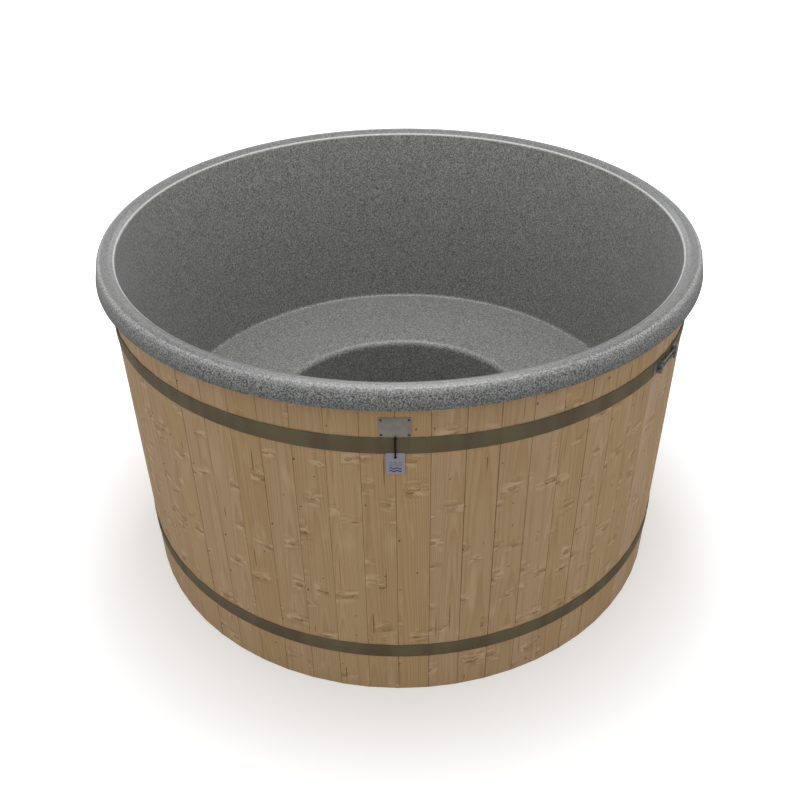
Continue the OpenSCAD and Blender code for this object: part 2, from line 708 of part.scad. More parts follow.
module drain_flange() color("gainsboro") at_drain() difference() {
    union() {
        translate([0, 0, dish_z + drain_gasket_t]) cylinder(r = drain_flange_r, h = drain_flange_t);
        translate([0, 0, drain_tail_end]) cylinder(r = drain_tail_r, h = floor_z - drain_tail_end - 1);
    }
    translate([0, 0, floor_z - grate_t]) cylinder(r = grate_r + 0.2, h = grate_t + 1);
    difference() {
        translate([0, 0, drain_tail_end - 1]) cylinder(r = drain_bore_r, h = floor_z);
        translate([0, 0, floor_z - 2 * grate_t]) for (a = [0, 90]) rotate([0, 0, a])
            translate([-drain_bore_r - 1, -3, -2]) cube([2 * drain_bore_r + 2, 6, grate_t + 2]);
    }
    translate([0, 0, drain_tail_end]) cylinder(r = base_screw_r, h = floor_z);
}

module drain_grate() color("silver") at_drain() difference() {
    translate([0, 0, floor_z - grate_t]) cylinder(r = grate_r, h = grate_t);
    translate([0, 0, floor_z - 20]) cylinder(r = base_screw_r + 0.2, h = 40);
    for (k = [0 : grate_slots - 1]) rotate([0, 0, k * 360 / grate_slots]) {
        translate([slot_in, -slot_w / 2, floor_z - 5]) cube([slot_out - slot_in, slot_w, 10]);
        for (x = [slot_in, slot_out]) translate([x, 0, floor_z - 5]) cylinder(r = slot_w / 2, h = 10);
    }
}

module drain_screw() color("silver") at_drain() {
    translate([0, 0, floor_z - grate_t - 8]) cylinder(r = base_screw_r, h = grate_t + 8);
    translate([0, 0, floor_z]) cylinder(r = base_head_r, h = 1.8);
}

module drain_body() color("#444444") at_drain() difference() {
    union() {
        translate([0, 0, drain_body_z - drain_wall]) cylinder(r = drain_flange_r, h = drain_wall);
        translate([0, 0, drain_bottom]) cylinder(r = drain_body_r, h = drain_body_z - drain_bottom);
        translate([0, 0, pipe_h]) bar_x(socket_r, 0, socket_l);
    }
    translate([0, 0, drain_bottom + drain_wall])
        cylinder(r = drain_body_r - drain_wall, h = drain_tail_end - drain_bottom - drain_wall);
    translate([0, 0, drain_tail_end - 1]) cylinder(r = drain_tail_r + 0.1, h = floor_z);
    translate([0, 0, pipe_h]) bar_x(pipe_r - pipe_t, 0, socket_l + 1);
    translate([0, 0, pipe_h]) bar_x(pipe_r + pipe_fit, drain_body_r + 2, socket_l + 1);
}

module drain_pipe() color("dimgray") out_at(drain_turn, 0, pipe_h)
    tube_x(pipe_r, pipe_r - pipe_t, pipe_start, pipe_end);

// ---- the ball valve, about the middle of its ball ----

module at_valve() out_at(drain_turn, valve_x, pipe_h) children();

module valve_body() color("silver") at_valve() difference() {
    union() {
        bar_x(barrel_r, -22, cap_face);
        bar_x(barrel_r, -valve_in, -26, 6);
        bar_x(barrel_r - 4, -valve_in, 0);
        cylinder(r = stem_r + 5, h = boss_top);
    }
    bar_x(pipe_r + pipe_fit, -valve_in - 1, -valve_in + 15.5);
    bar_x(valve_bore_r, -valve_in, 0);
    bar_x(ball_room, -cap_x, cap_face + 1);
    cylinder(r = stem_r + valve_fit, h = stem_top + 1);
}

module valve_seats() color("white") at_valve() for (side = [-1, 1]) rotate([0, side * 90, 0])
    rotate_extrude() difference() {
        translate([valve_bore_r, cap_x - seat_t]) square([ball_room - pipe_fit - valve_bore_r, seat_t]);
        circle(r = ball_r + valve_fit);
    }

module valve_end_cap() color("silver") at_valve() difference() {
    union() {
        bar_x(ball_room - pipe_fit, cap_x, cap_face + 1);
        bar_x(barrel_r, cap_face, cap_hex_end, 6);
    }
    bar_x(valve_bore_r, cap_x - 1, cap_hex_end + 1);
    bar_x(nipple_root_r + pipe_fit, cap_face + 2, cap_hex_end + 1);
}

// The ball stands shut: its bore lies across the pipe.
module valve_ball() color("white") at_valve() difference() {
    sphere(r = ball_r);
    translate([0, 2 * ball_r, 0]) rotate([90, 0, 0]) cylinder(r = valve_bore_r, h = 4 * ball_r);
    translate([-3, -ball_r, ball_r - 5]) cube([6, 2 * ball_r, 10]);
}

module valve_stem() color("silver") at_valve() {
    intersection() {
        translate([0, 0, ball_r - 4.8]) cylinder(r = stem_r, h = stem_top);
        translate([-2.9, -stem_r, ball_r - 5]) cube([5.8, 2 * stem_r, 7]);
    }
    translate([0, 0, ball_r + 0.3]) cylinder(r = stem_r, h = stem_top - ball_r - 0.3);
    translate([-stem_square / 2, -stem_square / 2, boss_top + 0.1])
        cube([stem_square, stem_square, stem_top + lever_t - boss_top - 0.1]);
    translate([0, 0, stem_top]) cylinder(r = 4, h = lever_t + 9);
}

// Shut, the lever lies along the staves. Its outer half is cranked up to clear the hand.
lever_root = 34;
lever_crank = 12;
module lever_profile(y0, y1, extra) {
    function up(y) = y > -lever_root ? 0 : min(lever_crank, -lever_root - y);
    polygon([for (y = [y0, -lever_root, -lever_root - lever_crank, y1]) [y, up(y) - extra],
             for (y = [y1, -lever_root - lever_crank, -lever_root, y0]) [y, up(y) + lever_t + extra]]);
}

module along_lever(w) rotate([90, 0, 90]) linear_extrude(height = w, center = true) children();

module valve_lever() color("silver") at_valve() translate([0, 0, stem_top]) difference() {
    union() {
        along_lever(lever_w) lever_profile(0, -lever_l, 0);
        cylinder(r = lever_w / 2 + 3, h = lever_t);
    }
    translate([-stem_square / 2 - 0.1, -stem_square / 2 - 0.1, -1])
        cube([stem_square + 0.2, stem_square + 0.2, lever_t + 2]);
}

module valve_grip() color("firebrick") at_valve() translate([0, 0, stem_top + lever_crank]) difference() {
    along_lever(lever_w + 2 * grip_t) translate([-lever_l - grip_t, -grip_t])
        square([grip_l, lever_t + 2 * grip_t]);
    along_lever(lever_w + 0.1) translate([-lever_l - 0.05, -0.05]) square([grip_l, lever_t + 0.1]);
}

module valve_nut() color("silver") at_valve() translate([0, 0, stem_top + lever_t]) difference() {
    cylinder(r = 7.5, h = 6.5, $fn = 6);
    translate([0, 0, -1]) cylinder(r = 4, h = 9);
}

module hose_nipple() color("silver") at_valve() difference() {
    union() {
        bar_x(nipple_root_r, cap_face + 3, cap_hex_end + 1);
        bar_x(nipple_root_r + 4, cap_hex_end, cap_hex_end + 4);
        bar_x(nipple_tail_r, cap_hex_end + 3, cap_hex_end + 4 + nipple_l);
        for (k = [0 : barb_count - 1])
            translate([cap_hex_end + 6 + k * nipple_l / barb_count, 0, 0]) rotate([0, 90, 0])
                cylinder(r1 = nipple_tail_r + 2, r2 = nipple_tail_r, h = nipple_l / barb_count - 3);
    }
    bar_x(nipple_bore_r, cap_face, cap_hex_end + nipple_l + 10);
}

// ---- heater connections ----

module heater_spigot(face_x) {
    back_x = face_x - heater_gasket_t;
    difference() {
        union() {
            bar_x(heater_flange_r, back_x - heater_flange_t, back_x);
            bar_x(spigot_r - spigot_neck, back_x - 1, hose_start + 1);
            bar_x(spigot_r, hose_start, spigot_end);
        }
        bar_x(spigot_r - spigot_t, back_x - heater_flange_t - 1, spigot_end + 1);
        at_heater_screws() bar_x(heater_screw_r + 0.3, face_x - 20, face_x + 20);
    }
}

module heater_guard(face_x) {
    front_x = face_x - heater_gasket_t - heater_flange_t - guard_t;
    difference() {
        bar_x(heater_flange_r, front_x, front_x + guard_t);
        at_heater_screws() bar_x(heater_screw_r + 0.3, face_x - 20, face_x + 20);
        bar_x(guard_hole_r, face_x - 20, face_x + 20);
        for (row = [1 : 2], a = [0 : 60 / row : 359])
            translate([0, row * 13 * cos(a), row * 13 * sin(a)])
                bar_x(guard_hole_r, face_x - 20, face_x + 20, 32);
    }
}

module heater_gasket(face_x) difference() {
    tube_x(heater_flange_r, spigot_r + spigot_fit, face_x - heater_gasket_t, face_x);
    at_heater_screws() bar_x(heater_screw_r + 0.3, face_x - 20, face_x + 20);
}

module heater_screw_set(face_x) at_heater_screws() {
    front_x = face_x - heater_gasket_t - heater_flange_t - guard_t;
    bar_x(heater_screw_r, front_x - 1, front_x + heater_screw_l);
    bar_x(heater_screw_r + 2, front_x - heater_head_t, front_x);
}

// A rosette straddles the joint of two staves, so its back is hollow to their faces.
module heater_rosette() difference() {
    tube_x(rosette_r, spigot_r + spigot_fit, clad_r - 10, clad_r + rosette_t);
    intersection_for (side = [-1, 1]) rotate([0, 0, side * stave_turn / 2])
        translate([0, -big, -big]) cube([stave_face_r + plate_lift, 2 * big, 2 * big]);
}

module lower_heater_spigot() color("silver") at_heater_low() heater_spigot(pad_low_x);
module upper_heater_spigot() color("silver") at_heater_high() heater_spigot(pad_high_x);
module lower_heater_guard() color("gainsboro") at_heater_low() heater_guard(pad_low_x);
module upper_heater_guard() color("gainsboro") at_heater_high() heater_guard(pad_high_x);

module heater_gaskets() color("#333333") {
    at_heater_low() heater_gasket(pad_low_x);
    at_heater_high() heater_gasket(pad_high_x);
}

module heater_screws() color("silver") {
    at_heater_low() heater_screw_set(pad_low_x);
    at_heater_high() heater_screw_set(pad_high_x);
}

module heater_rosettes() color("#444444") for (z = [heater_low_h, heater_high_h])
    out_at(heater_turn, 0, z) heater_rosette();

// ---- the nodes ----

liner();
for (k = [1 : STAVE_NODES])
    staves(k);
band(upper_closure, upper_band_h);  // upper_band
brackets(upper_closure, upper_band_h);  // upper_band_brackets
bolts(upper_closure, upper_band_h);  // upper_band_bolts
nuts(upper_closure, upper_band_h);  // upper_band_nuts
band(lower_closure, lower_band_h);  // lower_band
brackets(lower_closure, lower_band_h);  // lower_band_brackets
bolts(lower_closure, lower_band_h);  // lower_band_bolts
nuts(lower_closure, lower_band_h);  // lower_band_nuts
nameplate();
nameplate_screws();
tag_nail();
tag_cord();
tag_knots();
tag();
base_disc();
base_bearers();
base_screws();
floor_insulation();
wall_insulation();
seat_ring();
seat_posts();
drain_flange();
drain_grate();
drain_screw();
drain_gasket();
drain_body();
drain_pipe();
valve_body();
valve_end_cap();
valve_ball();
valve_seats();
valve_stem();
valve_lever();
valve_grip();
valve_nut();
hose_nipple();
lower_heater_spigot();
lower_heater_guard();
upper_heater_spigot();
upper_heater_guard();
heater_gaskets();
heater_screws();
heater_rosettes();
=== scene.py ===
# A round hot tub. A grey moulded bath hangs by its rim in a ring of spruce staves, which two steel
# bands hold together. Metres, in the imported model's frame: Z is up and the nameplate faces -Y.
import bmesh
import bpy
from math import atan2, ceil, copysign, cos, hypot, pi, radians, sin, sqrt, tan
from mathutils import Matrix, Vector


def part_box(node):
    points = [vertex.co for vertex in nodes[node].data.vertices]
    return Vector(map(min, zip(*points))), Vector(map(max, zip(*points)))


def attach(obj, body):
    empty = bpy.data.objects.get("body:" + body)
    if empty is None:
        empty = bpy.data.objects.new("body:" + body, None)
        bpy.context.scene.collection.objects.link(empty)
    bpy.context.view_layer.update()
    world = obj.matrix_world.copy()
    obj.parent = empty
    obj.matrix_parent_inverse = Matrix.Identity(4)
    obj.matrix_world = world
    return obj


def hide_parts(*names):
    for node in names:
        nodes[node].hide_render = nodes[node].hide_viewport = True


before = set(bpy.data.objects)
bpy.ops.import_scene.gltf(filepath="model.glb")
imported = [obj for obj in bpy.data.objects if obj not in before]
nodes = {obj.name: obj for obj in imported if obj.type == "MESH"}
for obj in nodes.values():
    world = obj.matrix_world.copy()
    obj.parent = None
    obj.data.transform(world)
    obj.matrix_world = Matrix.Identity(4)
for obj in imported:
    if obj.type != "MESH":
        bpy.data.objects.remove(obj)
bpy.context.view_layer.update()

# ---- the view ----
# The tub is seen from in front of its nameplate and from above its rim, through a lens a little
# longer than normal, so that the bench and the top of the footwell show inside it.
CAMERA_BACK = 2.361
CAMERA_HEIGHT = 2.058
CAMERA_ASIDE = -0.0024
CAMERA_TURN = radians(1.0)
LOOK_DOWN = radians(35.23)
CAMERA_ROLL = radians(-0.69)


def put(name, data):
    """A new object in the scene."""
    thing = bpy.data.objects.new(name, data)
    bpy.context.scene.collection.objects.link(thing)
    return thing


camera_data = bpy.data.cameras.new("camera")
camera_data.lens = 40.56
camera_data.sensor_width = 36
camera = put("camera", camera_data)
camera.matrix_world = (
    Matrix.Rotation(CAMERA_TURN, 4, "Z")
    @ Matrix.Translation((CAMERA_ASIDE, -CAMERA_BACK, CAMERA_HEIGHT))
    @ Matrix.Rotation(radians(90) - LOOK_DOWN, 4, "X")
    @ Matrix.Rotation(CAMERA_ROLL, 4, "Z"))
bpy.context.scene.camera = camera
bpy.context.scene.view_settings.view_transform = "Standard"

# ---- the tag's cord ----
# A short black cord, laid from three twisted strands, hangs from a nail under the nameplate. It
# carries a small card tag, and has a knot at each end.
CORD_RADIUS = 0.002
CORD_ROUTE_MM = [
    (0, -2), (0.1, -6), (0.2, -10), (0.3, -14), (0.4, -18), (0.5, -22), (0.5, -26), (0.5, -30),
    (0.4, -34), (0.3, -38), (0.2, -42), (0.1, -45), (0, -48), (-0.2, -51), (-0.5, -53)]
STRANDS = 3
STRAND_LAY = 0.011
KNOT_FRONT = 0.0036


def linear(colour):
    """A colour of three numbers is written as it looks on a screen, 0 to 255, and is changed to
    what a shader wants. Anything else is passed on."""
    if not isinstance(colour, tuple) or len(colour) != 3:
        return colour
    shares = [value / 255 for value in colour]
    return (*[share / 12.92 if share <= 0.04045 else ((share + 0.055) / 1.055) ** 2.4
              for share in shares], 1)


def surface(name, colour, roughness, **constants):
    """A new material with one Principled shader. Returns the material, the place on the object
    that its nodes start from, and the shader."""
    material = bpy.data.materials.new(name)
    material.use_nodes = True
    tree = material.node_tree
    shader = tree.nodes["Principled BSDF"]
    shader.inputs["Base Color"].default_value = linear(colour)
    shader.inputs["Roughness"].default_value = roughness
    for socket, value in constants.items():
        shader.inputs[socket.replace("_", " ")].default_value = value
    return material, add(tree, "ShaderNodeTexCoord")["Object"], shader


class Value:
    """An output of a node. It is added, multiplied and so on like a number, and each step of that
    makes a node in its tree."""
    def __init__(self, tree, socket):
        self.tree, self.socket = tree, socket

    def __add__(self, other):
        return sums("ADD", self, other)

    def __sub__(self, other):
        return sums("SUBTRACT", self, other)

    def __rsub__(self, other):
        return sums("SUBTRACT", other, self)

    def __mul__(self, other):
        return sums("MULTIPLY", self, other)

    def __truediv__(self, other):
        return sums("DIVIDE", self, other)

    def __neg__(self):
        return self * -1.0


class Outputs:
    """A node's outputs, by their names or numbers."""
    def __init__(self, tree, node):
        self.tree, self.node = tree, node

    def __getitem__(self, key):
        return Value(self.tree, self.node.outputs[key])


def add(tree, kind, inputs=(), **settings):
    """Adds a node and returns its outputs. An input is a number, a colour or another output."""
    new = tree.nodes.new(kind)
    for name, value in settings.items():
        setattr(new, name, value)
    for socket, value in dict(inputs).items():
        if isinstance(value, Value):
            tree.links.new(value.socket, new.inputs[socket])
        else:
            new.inputs[socket].default_value = value
    return Outputs(tree, new)


def tree_of(*values):
    return next(value.tree for value in values if isinstance(value, Value))


def sums(operation, *values):
    """One step of arithmetic, where at least one value is an output."""
    return add(tree_of(*values), "ShaderNodeMath", dict(enumerate(values)), operation=operation)[0]


def mix(factor, colour_a, colour_b):
    """Two colours mixed by a factor from 0 to 1."""
    return add(tree_of(factor, colour_a, colour_b), "ShaderNodeMix",
               {0: factor, 6: linear(colour_a), 7: linear(colour_b)}, data_type="RGBA")[2]


def fade(value, low, high, out_low=0.0, out_high=1.0):
    """A value taken smoothly from one range to another, and held at its ends."""
    ends = {"From Min": low, "From Max": high, "To Min": out_low, "To Max": out_high}
    return add(value.tree, "ShaderNodeMapRange", {"Value": value, **ends},
               interpolation_type="SMOOTHSTEP")[0]


def layered(colour, *layers):
    """A colour with others laid over it in turn, each by its own factor."""
    for factor, over in layers:
        colour = mix(factor, colour, over)
    return colour


def stretched(place, x, y, z):
    """A place scaled by its own amount along each axis."""
    return add(place.tree, "ShaderNodeMapping", {"Vector": place, "Scale": (x, y, z)})[0]


def apart(place):
    """A place's three numbers, as X, Y and Z."""
    return add(place.tree, "ShaderNodeSeparateXYZ", {0: place})


def vector(**parts):
    """A place put together from its X, Y and Z. Those not given are 0."""
    return add(tree_of(*parts.values()), "ShaderNodeCombineXYZ", parts)[0]


def noise(place, scale, detail=2.0, roughness=0.5, distortion=0.0):
    """Soft noise from 0 to 1. Its scale is one number, or one for each axis."""
    if isinstance(scale, tuple):
        place, scale = stretched(place, *scale), 1.0
    return add(place.tree, "ShaderNodeTexNoise", {
        "Vector": place, "Scale": scale, "Detail": detail, "Roughness": roughness,
        "Distortion": distortion})[0]


def feed(shader, **values):
    """Links outputs to a shader's inputs. In an input's name _ stands for a space."""
    for socket, value in values.items():
        value.tree.links.new(value.socket, shader.inputs[socket.replace("_", " ")])


def bump(shader, height, distance, strength=1.0):
    inputs = {"Height": height, "Distance": distance, "Strength": strength}
    feed(shader, Normal=add(height.tree, "ShaderNodeBump", inputs)[0])


def paint(material, *names):
    """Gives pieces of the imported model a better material."""
    for name in names:
        slots = nodes[name].data.materials
        slots.clear()
        slots.append(material)


def new_piece(name, mesh, body, material, slot_name, *stands_for):
    """Puts a mesh in the scene as a piece that rides on a body and stands for nodes."""
    mesh.materials.clear()
    mesh.materials.append(material)
    piece = put(name, mesh)
    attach(piece, body)
    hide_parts(*stands_for)
    return piece


def mesh_of(name, vertices, faces, smooth=True):
    mesh = bpy.data.meshes.new(name)
    mesh.from_pydata([tuple(v) for v in vertices], [], faces)
    mesh.update()
    work = bmesh.new()
    work.from_mesh(mesh)
    bmesh.ops.recalc_face_normals(work, faces=work.faces)
    work.to_mesh(mesh)
    work.free()
    if smooth:
        mesh.shade_smooth()
    return mesh


def smooth_but(mesh, degrees):
    """Shades a mesh smooth, apart from its edges sharper than an angle."""
    mesh.shade_smooth()
    mesh.set_sharp_from_angle(angle=radians(degrees))


def ring_faces(low, high, around):
    """The faces between two rings of vertices, whose first numbers are given."""
    steps = [(step, (step + 1) % around) for step in range(around)]
    return [(low + step, low + following, high + following, high + step)
            for step, following in steps]


def sweep(name, path, radius_at, sides):
    """A closed tube along a path. radius_at gives its radius at a length and an angle."""
    vertices = []
    travelled = 0.0
    across = Vector((1, 0, 0))
    for index, point in enumerate(path):
        ahead = path[min(index + 1, len(path) - 1)] - path[max(index - 1, 0)]
        ahead.normalize()
        across = (across - ahead * across.dot(ahead)).normalized()
        other = ahead.cross(across)
        if index:
            travelled += (point - path[index - 1]).length
        for side in range(sides):
            angle = 2 * pi * side / sides
            radius = radius_at(travelled, angle)
            vertices.append(point + radius * (cos(angle) * across + sin(angle) * other))
    faces = []
    for ring in range(len(path) - 1):
        faces += ring_faces(ring * sides, (ring + 1) * sides, sides)
    faces.append(tuple(reversed(range(sides))))
    faces.append(tuple(len(vertices) - sides + side for side in range(sides)))
    return mesh_of(name, vertices, faces)


def smooth_path(points, steps):
    """A finer path through the given points, by a Catmull-Rom curve."""
    path = []
    for i in range(len(points) - 1):
        before = points[max(i - 1, 0)]
        start, end = points[i], points[i + 1]
        after = points[min(i + 2, len(points) - 1)]
        for step in range(steps):
            t = step / steps
            path.append(0.5 * (2 * start + (end - before) * t
                               + (2 * before - 5 * start + 4 * end - after) * t * t
                               + (3 * start - before - 3 * end + after) * t ** 3))
    return path + [points[-1]]


nail_low, nail_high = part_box("tag_nail")
nail_z = (nail_low[2] + nail_high[2]) / 2
cord_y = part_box("tag_knots")[0][1] + KNOT_FRONT
cord_route = [Vector((0, cord_y - forward / 1000, nail_z + up / 1000))
              for forward, up in CORD_ROUTE_MM]

cord_black, cord_at, cord_shader = surface("cord_black", (14, 13, 13), 0.9, Specular_IOR_Level=0.2)
bump(cord_shader, noise(cord_at, 2500.0), 0.0002)


def strand_radius(travelled, angle):
    """The cord's outline bulges once for each strand, and the bulges wind along it."""
    wave = cos(STRANDS * (angle - 2 * pi * travelled / (STRANDS * STRAND_LAY)))
    return CORD_RADIUS * (0.95 + 0.05 * wave)


cord_mesh = sweep("tag_cord_laid", smooth_path(cord_route, 6), strand_radius, 24)
cord = new_piece("tag_cord_laid", cord_mesh, "tag", cord_black, "black_cord", "tag_cord")


def knot_mesh(name, centre, axis_turn, ring, wander, thick):
    """A cord that winds three times round a ring as it goes twice about it."""
    turn = Matrix.Rotation(axis_turn, 3, "X")
    steps = 96
    path = []
    for step in range(steps + 1):
        t = 2 * pi * step / steps
        radius = ring + wander * cos(3 * t)
        path.append(centre + turn @ Vector((radius * cos(2 * t), radius * sin(2 * t),
                                            wander * sin(3 * t))))
    return sweep(name, path, lambda travelled, angle: thick, 10)


# The upper knot is tied round the nail, and the lower one holds the tag.
top_knot = knot_mesh("knots", Vector((0, cord_y, nail_z)), radians(90),
                     ring=0.00245, wander=0.0004, thick=0.00085)
low_knot = knot_mesh("low", cord_route[-1], 0, ring=0.0017, wander=0.0007, thick=0.0009)
knot_work = bmesh.new()
knot_work.from_mesh(top_knot)
knot_work.from_mesh(low_knot)
bmesh.ops.create_icosphere(knot_work, subdivisions=3, radius=0.0021,
                           matrix=Matrix.Translation(cord_route[-1]))
for face in knot_work.faces:
    face.smooth = True
knot_work.to_mesh(top_knot)
knot_work.free()
knots = new_piece("tag_knots_tied", top_knot, "tag", cord_black, "black_cord", "tag_knots")

# ---- the tag ----
# A stiff plastic card, pale lilac, with one hole. It is printed with two plain waves for the water
# and, above them, with rows of small grey marks.
tag_low, tag_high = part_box("tag")
tag_card, tag_at, tag_shader = surface("tag_card", (146, 144, 156), 0.45)
tag_place = add(tag_at.tree, "ShaderNodeMapping", {
    "Vector": tag_at, "Location": (0, 0, -(tag_low[2] + tag_high[2]) / 2)})[0]
tag_xyz = apart(tag_place)


def within(value, centre, half, soft=0.0003):
    """1 where a value lies within half of a centre."""
    return fade(sums("ABSOLUTE", value - centre), half - soft, half + soft, 1.0, 0.0)


tag_x, tag_z = tag_xyz["X"], tag_xyz["Z"]
tag_swell = sums("SINE", tag_x * 450.0) * 0.0018
tag_water = tag_z - tag_swell
tag_waves = sums("MAXIMUM", within(tag_water, -0.0130, 0.0017), within(tag_water, -0.0205, 0.0017))
tag_waves = tag_waves * within(tag_x, 0.0, 0.0140)
tag_dashes = noise(stretched(tag_place, 1, 1, 0.05), 900.0, 1.0)
tag_rows = sums("MAXIMUM", within(tag_z, 0.0045, 0.0011), within(tag_z, -0.0005, 0.0011))
tag_rows = sums("MAXIMUM", tag_rows, within(tag_z, -0.0055, 0.0011))
tag_rows = tag_rows * within(tag_x, 0.0, 0.0150) * fade(tag_dashes, 0.42, 0.5)
feed(tag_shader, Base_Color=layered((148, 146, 158), (tag_rows, (70, 70, 108)),
                                    (tag_waves, (30, 32, 84))))
paint(tag_card, "tag")

# ---- the nail ----
# A short wire nail with a flat head, blackened, driven into the joint between two staves. The
# tag's cord hangs from it.
nail_black, nail_place, nail_shader = surface("nail_black", (30, 30, 31), 0.4, Metallic=0.6)
feed(nail_shader, Roughness=fade(noise(nail_place, 900.0), 0.3, 0.7, 0.3, 0.55))
paint(nail_black, "tag_nail")

# ---- the staves ----
# 64 planed spruce boards stand side by side, tongue in groove, with their outer edges bevelled.
# Each is its own tree, so grain, knots and tone change from one to the next.
STAVES = 64
CLAD_RADIUS = 0.808
STAVE_THICK = 0.020
STAVE_TURN = 2 * pi / STAVES
STAVE_FACE = CLAD_RADIUS * cos(STAVE_TURN / 2)
STAVE_INNER = STAVE_FACE - STAVE_THICK
STAVE_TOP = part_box("staves_01")[1][2]
STAVE_BEVEL = 0.0010
BEVEL_ROUND = 0.0004
JOINT_GAP = 0.0003
TONGUE = 0.005
TONGUE_IN = 0.007
STAVE_SETBACK = 0.0005


def stave_half(x):
    return x * tan(STAVE_TURN / 2) - JOINT_GAP / 2


def stave_outline():
    """A stave seen from above, with +X out of the tub: groove below, tongue above."""
    bevel_x = STAVE_FACE - STAVE_BEVEL
    half = stave_half(STAVE_FACE)
    lower = [
        (STAVE_INNER, -stave_half(STAVE_INNER))]
    tongue_low = STAVE_FACE - TONGUE_IN - TONGUE
    tongue_high = STAVE_FACE - TONGUE_IN
    play = 0.0003
    groove = [
        (tongue_low - play, -stave_half(tongue_low - play)),
        (tongue_low - play, -stave_half(tongue_low) + TONGUE + 2 * play),
        (tongue_high + play, -stave_half(tongue_high) + TONGUE + 2 * play),
        (tongue_high + play, -stave_half(tongue_high + play))]
    outer_low = [
        (bevel_x - BEVEL_ROUND, -stave_half(bevel_x - BEVEL_ROUND)),
        (bevel_x + BEVEL_ROUND * 0.7, -stave_half(bevel_x) + BEVEL_ROUND * 0.7),
        (STAVE_FACE - BEVEL_ROUND * 0.3, -half + STAVE_BEVEL - BEVEL_ROUND * 0.6),
        (STAVE_FACE, -half + STAVE_BEVEL + BEVEL_ROUND)]
    tongue = [
        (tongue_high, stave_half(tongue_high)),
        (tongue_high, stave_half(tongue_high) + TONGUE),
        (tongue_low, stave_half(tongue_low) + TONGUE),
        (tongue_low, stave_half(tongue_low))]
    outer_high = [(x, -y) for x, y in reversed(outer_low)]
    return lower + groove + outer_low + outer_high + tongue + [
        (STAVE_INNER, stave_half(STAVE_INNER))]


outline = stave_outline()
corner_count = len(outline)
stave_points = [(x, y, z) for z in (0.0, STAVE_TOP) for x, y in outline]
stave_faces = [tuple(reversed(range(corner_count))), tuple(range(corner_count, 2 * corner_count))]
stave_faces += ring_faces(0, corner_count, corner_count)
one_stave = mesh_of("one_stave", stave_points, stave_faces, smooth=False)


def node_modifier(name, mesh, build, **values):
    """A mesh run through a Geometry Nodes tree, whose named inputs take the values given."""
    tree = bpy.data.node_groups.new(name, "GeometryNodeTree")
    tree.interface.new_socket(name="Geometry", in_out="INPUT", socket_type="NodeSocketGeometry")
    tree.interface.new_socket(name="Geometry", in_out="OUTPUT", socket_type="NodeSocketGeometry")
    kinds = {int: "NodeSocketInt", float: "NodeSocketFloat",
             bpy.types.Material: "NodeSocketMaterial"}
    for key, value in values.items():
        tree.interface.new_socket(name=key, in_out="INPUT", socket_type=kinds[type(value)])
    start = tree.nodes.new("NodeGroupInput")
    end = tree.nodes.new("NodeGroupOutput")
    tree.links.new(build(tree, Outputs(tree, start)).socket, end.inputs["Geometry"])
    carrier = put(name, mesh)
    modifier = carrier.modifiers.new(name, "NODES")
    modifier.node_group = tree
    for item in tree.interface.items_tree:
        if item.in_out == "INPUT" and item.name in values:
            modifier[item.identifier] = values[item.name]
    depsgraph = bpy.context.evaluated_depsgraph_get()
    baked = bpy.data.meshes.new_from_object(carrier.evaluated_get(depsgraph))
    bpy.data.objects.remove(carrier)
    return baked


def made_of(geometry, material):
    """The last two steps of every tree: instances made real, and their material set."""
    tree = geometry.tree
    real = add(tree, "GeometryNodeRealizeInstances", {"Geometry": geometry})[0]
    return add(tree, "GeometryNodeSetMaterial", {"Geometry": real, "Material": material})[0]


def on_points(points, given, rotation=(0, 0, 0)):
    """The mesh that a tree is given, set at each point."""
    return add(points.tree, "GeometryNodeInstanceOnPoints", {
        "Points": points, "Instance": given["Geometry"], "Rotation": rotation})[0]


def stood(geometry, turn, height):
    """Geometry turned about Z and then lifted."""
    return add(geometry.tree, "GeometryNodeTransform", {
        "Geometry": geometry, "Rotation": vector(Z=turn), "Translation": vector(Z=height)})[0]


def ring_of_staves(tree, given):
    """Stands a stave at each place round the tub, each set back by its own hair's breadth."""
    points = add(tree, "GeometryNodeMeshLine", {"Count": given["Count"], "Offset": (0, 0, 0)})[0]
    share = (add(tree, "GeometryNodeInputIndex")[0] + 0.5) / given["Count"]
    staves_set = on_points(points, given, vector(Z=share * 2 * pi - pi / 2))
    back = add(tree, "FunctionNodeRandomValue", {
        2: 0.0, 3: given["Setback"], "Seed": given["Seed"]}, data_type="FLOAT")[1]
    moved = add(tree, "GeometryNodeTranslateInstances", {
        "Instances": staves_set, "Translation": vector(X=-back), "Local Space": True})[0]
    return made_of(moved, given["Wood"])


spruce, wood_place, wood_shader = surface("spruce_boards", (180, 152, 115), 0.62,
                                          Specular_IOR_Level=0.35)

# A board is known by its angle round the tub. Across it runs u, and the grain runs up z.
BOARD_WIDE = CLAD_RADIUS * STAVE_TURN
wood, wood_xyz = wood_place.tree, apart(wood_place)
wood_angle = sums("ARCTAN2", wood_xyz["X"], -wood_xyz["Y"])
board_at = wood_angle / STAVE_TURN
board = sums("FLOOR", board_at)
board_u = (board_at - board - 0.5) * BOARD_WIDE
board_luck = add(wood, "ShaderNodeSeparateColor", {
    0: add(wood, "ShaderNodeTexWhiteNoise", {"W": board}, noise_dimensions="1D")["Color"]})
luck_a, luck_b, luck_c = board_luck[0], board_luck[1], board_luck[2]
board_place = vector(X=board_u, Y=board * 3.7, Z=wood_xyz["Z"])


